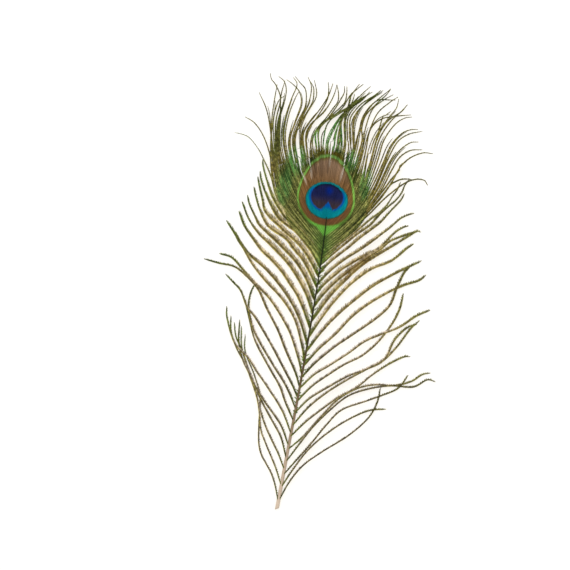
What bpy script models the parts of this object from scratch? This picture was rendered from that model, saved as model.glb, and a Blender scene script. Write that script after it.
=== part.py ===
# A cut peacock eye feather, lying on its back: a shaft, an eye of close barbs, and loose barbs on both
# sides. Blender 4.5, metres, +Z up. The guide tables are in real millimetres, with the cut end of the
# shaft at (0, 0) and the chord of the shaft along +Y.
import math

import bpy
import numpy as np

# ---- driving dimensions, mm
SHAFT_WIDTH_CUT = 2.8
SHAFT_WIDTH_EYE = 0.9
SHAFT_HEIGHT_CUT = 2.6
SHAFT_HEIGHT_EYE = 0.9
SHAFT_END = 208.0  # where the shaft fades out in the eye
SHAFT_LIFT_FROM = 150.0  # the underside is flat on the floor as far as this
SHAFT_LIFT = 1.5  # how far the fine end is off the floor
EYE_TOP = 2.3
EYE_THICKNESS = 1.15
EYE_CENTRE = (-3.0, 222.0)
BARB_WIDTH = 2.1
BARB_HEIGHT = 0.85
BARB_TIP_WIDTH = 0.55
BARB_ROOT_Z = 1.9  # ridge height of a barb where it leaves the shaft
BARB_ARCH = 3.2  # how much higher a loose barb rises on the way out
EYE_ARCH = 0.75  # the same for a barb that runs through the eye, just above its face
CROWN_ARCH = 2.2  # how much such a barb rises where it is loose, past the eye
ARCH_TURNS = (110.0, 165.0)  # a barb changes from the first kind to the second in between
BARB_TIP_Z = 0.55
STEP_ALONG = 13.5  # one section of a barb about every so many millimetres where it runs straight
BENDS = 30.0  # a turn of one radian gets as many sections as so many millimetres

# The line of the shaft: it leans a little to the right and comes back at the eye.
SHAFT_LINE = (
    (0, 0), (0.5, 25), (1.0, 50), (1.5, 70), (2.0, 100), (2.3, 130), (2.3, 165), (2.0, 182), (1.5, 197),
    (0.9, 208),
)

# Each barb is its points from the shaft to its tip.
RIGHT = (
    ((0.4, 6), (5.5, 21), (13, 34), (25, 46), (40, 59), (52, 73), (57, 85), (57.8, 96.5)),
    ((0.6, 16), (7, 31), (14.5, 45), (25, 58), (38, 70), (52, 79), (64, 82)),
    ((0.8, 25), (8, 37), (16, 50), (24, 64), (33, 76.5), (48, 85), (60, 91.5), (70, 98), (75.5, 108)),
    ((0.9, 34), (8, 48), (15, 61), (25, 75), (36, 87), (50, 94.5), (65, 99), (80, 100.5), (89, 107),
     (95, 106.5)),
    ((1, 43), (10, 54), (20, 70), (30, 84), (42, 93.5), (54, 98), (67, 99.5), (78, 104), (85, 110),
     (90.5, 112)),
    ((1.1, 52), (10, 64.5), (20, 75.5), (30, 85.5), (41, 94), (50, 104), (60, 113), (70, 120),
     (74.5, 121)),
    ((1.4, 60), (10, 74.5), (20, 86), (31, 96), (45, 107), (55, 114), (64, 126), (71.5, 140),
     (77, 147)),
    ((1.5, 69), (10, 81), (22, 91.5), (34, 101), (46, 108), (57, 117), (62, 131), (69, 140.5),
     (75.5, 144)),
    ((1.6, 77), (10, 89.5), (20, 99.5), (30, 108.5), (41, 116.5), (50, 127), (58, 141), (62, 153),
     (62.8, 164)),
    ((1.7, 86), (10, 98), (20, 107), (31, 117), (41, 127), (52, 134), (64, 141), (74, 150),
     (83, 155.5)),
    ((1.9, 94), (10, 107.5), (20, 119.5), (31, 130), (46, 144.5), (54, 155), (57, 167), (60.5, 178),
     (64, 183)),
    ((2, 102), (10, 117), (20, 130), (28, 142), (38, 153), (50, 163), (62, 170.5), (71.5, 175),
     (76, 179.5)),
    ((2.1, 112), (10, 129.5), (19, 143), (30, 156), (41, 167.5), (55, 178), (71, 188.5)),
    ((2.2, 122), (8, 138), (15, 151.5), (25, 166), (37, 178), (50, 185.5), (60, 196), (64, 199.5)),
    ((2.4, 134), (5.4, 140), (8.9, 147.5), (14.3, 157.1), (20.7, 166.1), (26.8, 174.3), (33.2, 181.4),
     (41, 188.2), (48.5, 194.3), (54.7, 199.6), (60, 204.2), (65, 208.4), (67.5, 208.2)),
    ((2.4, 144), (5.7, 151.1), (9.3, 157.1), (15.4, 165.4), (22.9, 173.6), (29.3, 180), (35.7, 186.4),
     (41.5, 191.5), (46.6, 197.5), (51, 200.7), (59.4, 205.4), (64, 208)),
    ((2.4, 153), (5.7, 159.3), (9.6, 164.6), (13.6, 169.3), (17.5, 173.9), (22.1, 177.9), (27.1, 182.1),
     (32.1, 185.7), (37.5, 189.6), (41.6, 193.2), (45, 198), (50.2, 205.2), (55, 209.5), (58.5, 211)),
    ((2.4, 160.5), (5.7, 165.7), (8.9, 170.4), (14.3, 176.8), (20, 182.5), (27, 188.6), (34.1, 195.5),
     (40, 201.7), (46.2, 208.1), (52.1, 215.2), (57.2, 218.8), (61, 220.5)),
    ((2.4, 167.5), (5.4, 172.9), (8.9, 177.9), (14.3, 183.9), (19.6, 189.6), (26.6, 197.8),
     (32.7, 204.1), (38.7, 210.4), (44.4, 219.2), (50.1, 227.6), (52.2, 233)),
    ((2.3, 174), (9, 182.5), (20, 195.2), (26, 201.6), (32.1, 207.6), (37.7, 216.3), (43.7, 223.7),
     (46.6, 227), (50, 233), (51.5, 239), (54, 243.5)),
    ((2.2, 178.5), (10, 187.5), (20, 198), (31.5, 211.4), (37.5, 217.7), (41.7, 224), (44, 229.5),
     (46.8, 235), (48.2, 240.6)),
)
LEFT = (
    ((-0.2, 6), (-4, 17), (-8, 25), (-12.5, 31), (-17, 37), (-20, 45), (-22, 58), (-24.5, 77),
     (-31, 91), (-40, 106), (-42, 118)),
    ((0, 17.5), (-5, 28), (-9, 35), (-16, 46.5), (-20, 54), (-24, 69), (-30, 85), (-37, 97), (-43, 109),
     (-45.5, 123)),
    ((0.2, 29), (-5, 38.5), (-9, 44.5), (-17, 56.5), (-22, 66), (-28.5, 80), (-35, 92), (-42, 106),
     (-48, 115), (-51, 125)),
    ((0.3, 37), (-5, 50), (-11, 58.5), (-17, 66), (-23, 74), (-31, 86), (-38, 97), (-46, 107),
     (-52, 118), (-54, 129)),
    ((0.4, 46), (-6, 58), (-12, 65), (-19, 72), (-27, 81), (-35, 92), (-41, 101), (-45.5, 112),
     (-47.5, 127)),
    ((0.5, 55), (-6, 67), (-12, 75), (-18, 81.5), (-24, 88), (-30, 94), (-37, 102), (-48, 110.5),
     (-56, 126), (-58, 135)),
    ((0.7, 64), (-6, 75), (-12, 86), (-20, 96), (-31, 110), (-36, 118), (-40, 127), (-43, 134),
     (-46.5, 142)),
    ((0.9, 72.5), (-4, 81), (-10, 89.5), (-21, 102), (-34, 118), (-40, 129), (-43, 138), (-43, 147),
     (-41, 154)),
    ((1.1, 80), (-3, 87), (-13, 100.5), (-22, 112.5), (-31, 123.5), (-38, 131.5), (-44, 137),
     (-50, 147), (-56, 152), (-62.5, 157)),
    ((1.2, 88), (-3, 97), (-12, 111), (-20, 124.5), (-30, 138), (-38, 150), (-47, 157.5), (-57, 163),
     (-68, 163.7), (-79, 165)),
    ((1.3, 97), (-2, 106), (-10, 122), (-18, 133), (-29, 145), (-41, 154), (-51, 162), (-60, 169),
     (-69, 170.3)),
    ((1.4, 106), (-1, 115), (-9, 133), (-20, 146), (-34, 157), (-45, 167), (-54, 178), (-63, 188.5),
     (-68, 194)),
    ((1.7, 118), (-4, 130.5), (-12, 143), (-23, 155), (-35, 165), (-48, 173), (-56, 180), (-61, 186.5)),
    ((2, 129), (-1, 135), (-5, 142.5), (-11, 151.5), (-17, 158), (-24, 165.5), (-32, 172), (-40, 177.4),
     (-47, 184), (-55, 192.5), (-60.5, 202)),
    ((2.2, 139.5), (0, 144), (-4.1, 152), (-9.6, 159.7), (-16.7, 168), (-23.6, 174.3), (-30.7, 179.6),
     (-36, 183.4), (-45, 189.5), (-53, 198), (-59.5, 209)),
    ((2.2, 149), (0, 152.3), (-3.9, 159.7), (-9.6, 167.7), (-16.5, 174.9), (-24.5, 181), (-30.7, 185.5),
     (-39, 190.8), (-45, 195), (-48, 199), (-54, 208), (-56.5, 214)),
    ((2.2, 158), (0.2, 161), (-5, 168.8), (-10.7, 176), (-18.3, 182.5), (-24.8, 188.5), (-36.4, 194),
     (-41, 197.7), (-46, 205), (-50, 213), (-53, 220.5)),
    ((2.3, 165.3), (0, 168.6), (-4.8, 175.3), (-10.7, 182.1), (-17.6, 187.9), (-24.8, 192.2),
     (-31.9, 197.2), (-38.6, 201.7), (-43, 206), (-45.5, 212.5), (-49, 221), (-51.5, 228)),
    ((2.4, 171.3), (0, 175.3), (-4.8, 181.6), (-9.1, 186), (-18, 194), (-24.8, 197.7), (-32.6, 202.4),
     (-39, 210), (-45, 219), (-49, 227), (-50.5, 232)),
    ((2.2, 177.5), (-0.4, 180.6), (-3.9, 184.5), (-11, 191), (-18.8, 197.5), (-26.9, 202.7),
     (-31, 206.5), (-39, 216), (-45, 227), (-49, 236), (-50, 240.5)),
    ((2.2, 181.5), (-10, 192.5), (-26, 205), (-36, 216), (-42, 229), (-49, 240), (-55, 248),
     (-63, 254.5), (-73, 256)),
)
CROWN = (
    ((2, 183.5), (-13, 196), (-28, 209), (-38, 222), (-43, 238), (-47, 248), (-53, 258), (-60, 265),
     (-67, 268)),
    ((2, 185.5), (-13, 198), (-27, 211), (-37, 225), (-43, 242), (-48, 262), (-53, 275.5),
     (-60, 286.5)),
    ((1.9, 187.5), (-12, 199.5), (-26, 213), (-36, 228), (-43, 246), (-47.5, 263), (-48.5, 280),
     (-48.5, 294)),
    ((1.8, 189), (-12, 201.5), (-25, 215), (-35, 230), (-42, 250), (-45, 268), (-44.5, 284), (-49, 293),
     (-53, 297), (-54.5, 301)),
    ((1.7, 190.5), (-12, 203.5), (-24, 217), (-34, 233), (-41, 252), (-43, 268), (-41.5, 282),
     (-41.5, 291), (-44, 297), (-48.3, 299.7)),
    ((1.6, 192), (-12, 206), (-23, 220), (-33, 236), (-40, 254), (-42.5, 272), (-44.5, 286),
     (-43.5, 297.5)),
    ((1.5, 193.5), (-11, 207), (-22, 222), (-31, 238), (-38, 256), (-39, 271), (-37, 285), (-34.7, 296),
     (-38, 300.7)),
    ((1.5, 195), (-11, 209), (-21, 224), (-30, 240), (-36.5, 257), (-37, 273), (-34.5, 286),
     (-32.5, 291.8)),
    ((1.5, 196.5), (-10, 210), (-19, 225), (-28, 240), (-33.5, 256), (-32, 269), (-29.7, 283),
     (-32, 291), (-37, 295.5), (-42.5, 298.5)),
    ((1.4, 198), (-9, 211), (-18, 226), (-26, 241), (-31.5, 257), (-30, 270), (-26.5, 282), (-28, 293),
     (-33, 298), (-37, 301.7)),
    ((1.4, 199), (-8, 212), (-16, 227), (-24, 242), (-29.5, 258), (-28, 272), (-24.5, 285),
     (-24.5, 296), (-28, 302.8)),
    ((1.3, 200), (-7, 213), (-14, 227), (-21, 241), (-25.5, 255), (-24, 268), (-20.5, 280), (-20, 290),
     (-23.3, 301.3)),
    ((1.3, 201), (-6, 213), (-12, 227), (-18.5, 241), (-24, 256), (-22.5, 268), (-17.5, 279),
     (-13, 290), (-9.8, 301)),
    ((1.2, 202), (-5, 214), (-10, 228), (-16, 242), (-21, 256), (-18.5, 268), (-13, 280), (-9, 290),
     (-7.3, 300.5)),
    ((1.2, 203), (-4, 215), (-9, 229), (-14, 242), (-18, 254), (-17, 266), (-11.5, 277), (-5, 287),
     (-6, 300)),
    ((1.1, 204), (-3, 216), (-6.5, 230), (-10, 243), (-13, 257), (-14.5, 268), (-8, 279), (1, 286),
     (10, 293.5), (18.3, 299.7)),
    ((1, 204.5), (-1.5, 217), (-3.5, 231), (-5.5, 245), (-6, 260), (-3.5, 272), (-1, 283),
     (-1.5, 300.5)),
    ((1, 205), (0, 218), (-0.5, 232), (-1, 246), (-1.5, 260), (-0.5, 274), (3, 288), (8.4, 303.8)),
    ((1, 205), (2, 218), (2.5, 232), (3, 246), (4.5, 260), (5, 273), (5.5, 286), (10, 296),
     (16.3, 303.3)),
    ((1.2, 204), (4, 216), (6, 230), (7.5, 244), (9.5, 259), (9.5, 273), (11, 286), (17, 295.5),
     (25.5, 302)),
    ((1.4, 203), (6, 215), (9, 229), (11, 243), (13, 258), (13.5, 272), (16, 285), (22, 294), (29, 302),
     (30.5, 304)),
    ((1.5, 201.5), (7.5, 214), (12, 228), (15, 243), (17.5, 258), (17.5, 273), (20, 287), (26, 294.5),
     (33, 300.3)),
    ((1.6, 200), (8.5, 212), (13.5, 226), (17, 241), (19, 256), (20.2, 270), (24, 285), (31, 294),
     (36.5, 299.3)),
    ((1.7, 198), (10, 211), (16, 225), (19.5, 240), (20.3, 258), (21, 273), (27, 281.5), (37, 285.5),
     (47.5, 288.3)),
    ((1.8, 196), (11, 209), (18, 223), (22, 238), (23, 256), (26, 270), (32, 283), (36.5, 291),
     (37.3, 298)),
    ((1.8, 194), (12, 207.5), (19.5, 221), (24, 236), (26.5, 252), (28.5, 268), (34, 281), (40, 289),
     (44, 295)),
    ((1.8, 192), (12.5, 206), (20.5, 219), (26, 234), (29.5, 252), (31.5, 267), (37, 279), (43, 285),
     (48.5, 287)),
    ((1.9, 190), (13, 204), (22, 218), (28.5, 233), (33.5, 251), (37, 264.5), (43, 274), (49, 278),
     (54, 279)),
    ((1.9, 189), (14, 202.5), (24, 217), (31, 233), (36, 253), (41, 267.5), (48, 274.5), (57, 278.2)),
    ((1.9, 187.5), (14.5, 201), (25, 215.5), (33, 233), (38.5, 252), (43.5, 262), (50, 268.8),
     (55.7, 270.4)),
    ((1.9, 185.5), (15, 199), (26, 214), (35, 231.5), (40.5, 248), (44.5, 257.5), (51, 263.5),
     (59, 265.5)),
    ((2, 183.5), (15, 197), (26, 211.5), (36, 227), (42, 240), (46, 251), (52, 258.5), (60, 263.3),
     (67, 264)),
    ((2.1, 181.5), (14, 194), (24.9, 208.5), (30.7, 215.9), (37.6, 225.8), (43, 232.3), (51, 240.3),
     (58, 244.2), (64, 244.6), (67, 241.7)),
)
# Outline of the close part of the feather round the eye, from its lowest point at the shaft, up the left.
EYE_OUTLINE = (
    (2.0, 171), (-1.5, 176), (-5, 181), (-10, 186.3), (-15.5, 191), (-21, 195.5), (-26, 199.5),
    (-30.5, 204.5), (-34.5, 210), (-38, 216), (-40.5, 222), (-42, 228), (-43.5, 235), (-45, 243),
    (-44.5, 249), (-41, 251), (-38.5, 249), (-36, 243), (-33.5, 239.5), (-33, 245), (-31.5, 249),
    (-29, 248), (-26.5, 243), (-24, 238.5), (-23.5, 244), (-22, 249), (-19.5, 246), (-18, 250),
    (-15.5, 253.5), (-12.5, 257.5), (-9.5, 255.5), (-6.5, 258.5),
    (-3.5, 255.5), (0, 259), (3, 256.5), (6, 258), (8, 254), (10.5, 258.5), (13.5, 257), (16.5, 259),
    (19.5, 256), (20.5, 249), (22, 243), (24.5, 246), (26, 241), (28, 235), (31, 238), (31.5, 231),
    (31, 225), (29.5, 219), (27.5, 213.5), (24.5, 208), (21, 202.5), (17.5, 197.5), (13.5, 192),
    (10, 186.5), (6.5, 181.5), (4, 176),
)

MIDDLE = (8.03, 152.09)  # middle of the feather's box, which comes to stand over the origin
MM = 0.001


def spline(points, count, bends=0.0):
    """A smooth curve through the points at count places, closer together in its bends if bends is over 0."""
    p = np.array(points, float)
    p = np.vstack([2 * p[0] - p[1], p, 2 * p[-1] - p[-2]])
    t = np.linspace(0, 1, 12, endpoint=False)[:, None]
    a, b, c, d = p[:-3, None], p[1:-2, None], p[2:-1, None], p[3:, None]
    curved = (c - a) * t + (2 * a - 5 * b + 4 * c - d) * t**2 + (3 * b - 3 * c + d - a) * t**3
    fine = 0.5 * (2 * b + curved)
    fine = np.vstack([fine.reshape(-1, 2), p[-2]])
    step = np.diff(fine, axis=0)
    turn = np.unwrap(np.arctan2(step[:, 1], step[:, 0]))
    run = np.concatenate([[0], np.cumsum(np.linalg.norm(step, axis=1))])
    crowded = run + bends * np.concatenate([[0, 0], np.cumsum(np.abs(np.diff(turn)))])
    at = np.interp(np.linspace(0, crowded[-1], count), crowded, run)
    return np.stack([np.interp(at, run, fine[:, 0]), np.interp(at, run, fine[:, 1])], 1), crowded[-1]


def add_mesh(name, verts, faces):
    mesh = bpy.data.meshes.new(name)
    mesh.from_pydata([tuple(float(c) * MM for c in v) for v in verts], [], faces)
    mesh.validate()
    obj = bpy.data.objects.new(name, mesh)
    bpy.context.scene.collection.objects.link(obj)
    return obj


def loft(rings):
    """Vertices and faces of a closed body through rings of equal count, which turn right about a path."""
    n = len(rings[0])
    verts = [tuple(v) for ring in rings for v in ring]
    faces = []
    for k in range(len(rings) - 1):
        for j in range(n):
            a, b = k * n + j, k * n + (j + 1) % n
            faces.append((a, b, b + n, a + n))
    faces.append(tuple(reversed(range(n))))
    faces.append(tuple(range((len(rings) - 1) * n, len(rings) * n)))
    return verts, faces


def side_of(path):
    """Unit vectors to the right of a path, one a point."""
    along = np.gradient(path, axis=0)
    along /= np.linalg.norm(along, axis=1)[:, None]
    return np.stack([along[:, 1], -along[:, 0]], 1)


def shaft():
    """The shaft: flat below and rounded above, finer towards the eye."""
    path, _ = spline(SHAFT_LINE, 22)
    right = side_of(path)
    share = np.linspace(0, 1, len(path))
    width = SHAFT_WIDTH_CUT + (SHAFT_WIDTH_EYE - SHAFT_WIDTH_CUT) * share**0.85
    height = SHAFT_HEIGHT_CUT + (SHAFT_HEIGHT_EYE - SHAFT_HEIGHT_CUT) * share**0.9
    free = np.clip((path[:, 1] - SHAFT_LIFT_FROM) / (SHAFT_END - SHAFT_LIFT_FROM), 0, 1)
    lift = free**1.5 * SHAFT_LIFT
    right_side = ((0.36, 0), (0.5, 0.30), (0.46, 0.66), (0.26, 0.93))
    profile = right_side + tuple((-x, z) for x, z in reversed(right_side))
    rings = []
    for k in range(len(path)):
        ring = [(*(path[k] + right[k] * x * width[k]), lift[k] + z * height[k] / 0.93) for x, z in profile]
        rings.append(ring)
    return loft(rings)


def barb(points, number):
    """One barb: a strip with a ridge along it, arching from the shaft to its tip."""
    length = spline(points, 2, BENDS)[1]
    path, _ = spline(points, max(6, round(length / STEP_ALONG)), BENDS)
    right = side_of(path)
    share = np.linspace(0, 1, len(path))
    fullness = np.minimum(1, 0.45 + 2.4 * share) * (1 - share**3)
    half = 0.5 * (BARB_TIP_WIDTH + (BARB_WIDTH - BARB_TIP_WIDTH) * fullness)
    thick = BARB_HEIGHT * (0.45 + 0.55 * (1 - share**2))
    near_eye = min(1.0, max(0.0, (points[0][1] - ARCH_TURNS[0]) / (ARCH_TURNS[1] - ARCH_TURNS[0])))
    lively = 0.85 + 0.3 * ((number * 4) % 7) / 7
    arch = (BARB_ARCH + (EYE_ARCH - BARB_ARCH) * near_eye) * lively
    past_eye = np.clip((share - 0.45) / 0.55, 0, 1)
    ridge = BARB_ROOT_Z + (BARB_TIP_Z - BARB_ROOT_Z) * share**1.6 + arch * np.sin(math.pi * share**0.8)
    ridge += CROWN_ARCH * near_eye * lively * np.sin(math.pi * past_eye**0.9) ** 1.3
    ridge += 0.02 * ((number * 3) % 11)
    under = np.maximum(ridge - thick, 0.02 + 0.004 * number)
    under[-1] = 0.0
    ridge = np.maximum(ridge, under + 0.3)
    rings = []
    for k in range(len(path)):
        a, b = path[k] + right[k] * half[k], path[k] - right[k] * half[k]
        rings.append([(*a, under[k]), (*path[k], ridge[k]), (*b, under[k])])
    return loft(rings)


def eye():
    """The close part round the eye: a thin plate with a ragged edge and a gentle crown."""
    rim = np.array(EYE_OUTLINE, float)[::-1]
    centre = np.array(EYE_CENTRE)
    n = len(rim)
    below = ((0.35, -EYE_THICKNESS), (0.94, -EYE_THICKNESS), (1.0, -0.75))
    levels = below + ((1.0, -0.42), (0.93, -0.12), (0.5, 0.0))
    verts, faces = [], []
    for scale, z in levels:
        for point in rim:
            verts.append((*(centre + (point - centre) * scale), EYE_TOP + z))
    for k in range(len(levels) - 1):
        for j in range(n):
            a, b = k * n + j, k * n + (j + 1) % n
            faces.append((a, b, b + n, a + n))
    bottom, top = len(verts), len(verts) + 1
    verts.append((*centre, EYE_TOP - EYE_THICKNESS))
    verts.append((*centre, EYE_TOP + 0.05))
    last = (len(levels) - 1) * n
    for j in range(n):
        faces.append((bottom, (j + 1) % n, j))
        faces.append((top, last + j, last + (j + 1) % n))
    return verts, faces


def material(name, colour, rough):
    made = bpy.data.materials.new(name)
    made.use_nodes = True
    shader = made.node_tree.nodes["Principled BSDF"]
    shader.inputs["Base Color"].default_value = (*colour, 1)
    shader.inputs["Roughness"].default_value = rough
    return made


for old in list(bpy.data.objects):
    bpy.data.objects.remove(old, do_unlink=True)

feather = add_mesh("feather", *shaft())
added = bpy.data.collections.new("added_to_shaft")
bpy.context.scene.collection.children.link(added)
added.hide_render = True
pieces = [("eye_plate", eye())]
for number, points in enumerate(RIGHT + LEFT + CROWN):
    pieces.append((f"barb_{number:02d}", barb(points, number)))
for name, (verts, faces) in pieces:
    piece = add_mesh(name, verts, faces)
    bpy.context.scene.collection.objects.unlink(piece)
    added.objects.link(piece)
    piece.hide_render = True
    piece.display_type = "WIRE"

union = feather.modifiers.new("barbs and eye", "BOOLEAN")
union.operation = "UNION"
union.operand_type = "COLLECTION"
union.collection = added
union.solver = "EXACT"

for obj in bpy.data.objects:
    obj.location = (-MIDDLE[0] * MM, -MIDDLE[1] * MM, 0)

feather.data.materials.append(material("barb green", (0.10, 0.11, 0.03), 0.5))
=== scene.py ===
# %% [markdown]
# # A cut peacock eye feather
#
# The object is one tail feather of a peafowl, cut to about 30 cm and laid on its back. It has a shaft,
# loose barbs on both sides, and near the top an eye where the barbs lie so close that their hooklets make
# one coloured surface.
#
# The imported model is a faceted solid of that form. Here it is dressed with real barbs: every barb is a
# tapering core with two ranks of flat barbules, all worked out as numpy arrays, and the colours of the eye
# are painted by position.

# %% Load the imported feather
import math

import bpy
import numpy as np
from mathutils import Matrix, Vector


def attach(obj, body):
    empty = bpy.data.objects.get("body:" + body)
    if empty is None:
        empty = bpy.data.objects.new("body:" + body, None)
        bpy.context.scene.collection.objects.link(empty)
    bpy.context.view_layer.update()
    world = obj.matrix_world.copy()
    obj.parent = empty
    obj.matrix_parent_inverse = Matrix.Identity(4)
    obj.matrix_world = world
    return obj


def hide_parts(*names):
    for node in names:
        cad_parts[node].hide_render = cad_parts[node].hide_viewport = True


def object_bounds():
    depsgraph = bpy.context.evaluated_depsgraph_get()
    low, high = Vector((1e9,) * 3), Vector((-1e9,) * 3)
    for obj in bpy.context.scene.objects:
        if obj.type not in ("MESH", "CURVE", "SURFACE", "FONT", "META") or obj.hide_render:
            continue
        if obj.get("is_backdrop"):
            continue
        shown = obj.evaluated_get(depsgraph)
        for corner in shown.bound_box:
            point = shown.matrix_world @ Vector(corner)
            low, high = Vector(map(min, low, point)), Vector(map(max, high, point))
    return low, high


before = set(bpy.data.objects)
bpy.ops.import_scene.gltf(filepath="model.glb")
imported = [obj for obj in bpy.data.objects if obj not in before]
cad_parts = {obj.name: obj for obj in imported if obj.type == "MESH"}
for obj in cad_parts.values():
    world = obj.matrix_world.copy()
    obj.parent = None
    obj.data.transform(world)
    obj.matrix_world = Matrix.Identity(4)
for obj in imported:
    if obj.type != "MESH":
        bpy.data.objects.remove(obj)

MM = 0.001
MIDDLE = np.array([8.03, 152.09])  # mm are counted from the cut end, and the frame's origin is here
cad_box = [[float(c) for c in corner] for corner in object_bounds()]
print("packed feather, mm:", np.round((np.array(cad_box[1]) - cad_box[0]) / MM, 1))

# %% [markdown]
# ## The lines that the barbs follow
#
# On the real feather every barb leaves the shaft at a steep angle, swings outwards and ends free. The swing
# of each one differs, so a formula for all of them looks combed. Each main barb is given here by a few
# points in real millimetres, counted from the cut end of the shaft, and a smooth curve goes through them.

# %% Guide points of the shaft and the main barbs, mm
SHAFT_LINE = (
    (0, 0), (0.5, 25), (1, 50), (1.5, 70), (2, 100),
    (2.3, 130), (2.3, 165), (2, 182), (1.5, 197), (0.9, 208),
)
RIGHT = (
    ((0.4, 6), (5.5, 21), (13, 34), (25, 46), (40, 59), (52, 73), (57, 85), (57.8, 96.5)),
    ((0.6, 16), (7, 31), (14.5, 45), (25, 58), (38, 70), (52, 79), (64, 82)),
    ((0.8, 25), (8, 37), (16, 50), (24, 64), (33, 76.5), (48, 85), (60, 91.5), (70, 98), (75.5, 108)),
    ((0.9, 34), (8, 48), (15, 61), (25, 75), (36, 87), (50, 94.5), (65, 99), (80, 100.5), (89, 107),
     (95, 106.5)),
    ((1.0, 43), (10, 54), (20, 70), (30, 84), (42, 93.5), (54, 98), (67, 99.5), (78, 104), (85, 110),
     (90.5, 112)),
    ((1.1, 52), (10, 64.5), (20, 75.5), (30, 85.5), (41, 94), (50, 104), (60, 113), (70, 120), (74.5, 121)),
    ((1.4, 60), (10, 74.5), (20, 86), (31, 96), (45, 107), (55, 114), (64, 126), (71.5, 140), (77, 147)),
    ((1.5, 69), (10, 81), (22, 91.5), (34, 101), (46, 108), (57, 117), (62, 131), (69, 140.5), (75.5, 144)),
    ((1.6, 77), (10, 89.5), (20, 99.5), (30, 108.5), (41, 116.5), (50, 127), (58, 141), (62, 153),
     (62.8, 164)),
    ((1.7, 86), (10, 98), (20, 107), (31, 117), (41, 127), (52, 134), (64, 141), (74, 150), (83, 155.5)),
    ((1.9, 94), (10, 107.5), (20, 119.5), (31, 130), (46, 144.5), (54, 155), (57, 167), (60.5, 178),
     (64, 183)),
    ((2.0, 102), (10, 117), (20, 130), (28, 142), (38, 153), (50, 163), (62, 170.5), (71.5, 175),
     (76, 179.5)),
    ((2.1, 112), (10, 129.5), (19, 143), (30, 156), (41, 167.5), (55, 178), (71, 188.5)),
    ((2.2, 122), (8, 138), (15, 151.5), (25, 166), (37, 178), (50, 185.5), (60, 196), (64, 199.5)),
    ((2.4, 134), (5.4, 140), (8.9, 147.5), (14.3, 157.1), (20.7, 166.1), (26.8, 174.3), (33.2, 181.4),
     (41, 188.2), (48.5, 194.3), (54.7, 199.6), (60, 204.2), (65, 208.4), (67.5, 208.2)),
    ((2.4, 144), (5.7, 151.1), (9.3, 157.1), (15.4, 165.4), (22.9, 173.6), (29.3, 180), (35.7, 186.4),
     (41.5, 191.5), (46.6, 197.5), (51, 200.7), (59.4, 205.4), (64, 208)),
    ((2.4, 153), (5.7, 159.3), (9.6, 164.6), (13.6, 169.3), (17.5, 173.9), (22.1, 177.9), (27.1, 182.1),
     (32.1, 185.7), (37.5, 189.6), (41.6, 193.2), (45, 198), (50.2, 205.2), (55, 209.5), (58.5, 211)),
    ((2.4, 160.5), (5.7, 165.7), (8.9, 170.4), (14.3, 176.8), (20, 182.5), (27, 188.6), (34.1, 195.5),
     (40, 201.7), (46.2, 208.1), (52.1, 215.2), (57.2, 218.8), (61, 220.5)),
    ((2.4, 167.5), (5.4, 172.9), (8.9, 177.9), (14.3, 183.9), (19.6, 189.6), (26.6, 197.8), (32.7, 204.1),
     (38.7, 210.4), (44.4, 219.2), (50.1, 227.6), (52.2, 233)),
    ((2.3, 174), (9, 182.5), (20, 195.2), (26, 201.6), (32.1, 207.6), (37.7, 216.3), (43.7, 223.7),
     (46.6, 227), (50, 233), (51.5, 239), (54, 243.5)),
    ((2.2, 178.5), (10, 187.5), (20, 198), (31.5, 211.4), (37.5, 217.7), (41.7, 224), (44, 229.5),
     (46.8, 235), (48.2, 240.6)),
)
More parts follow.
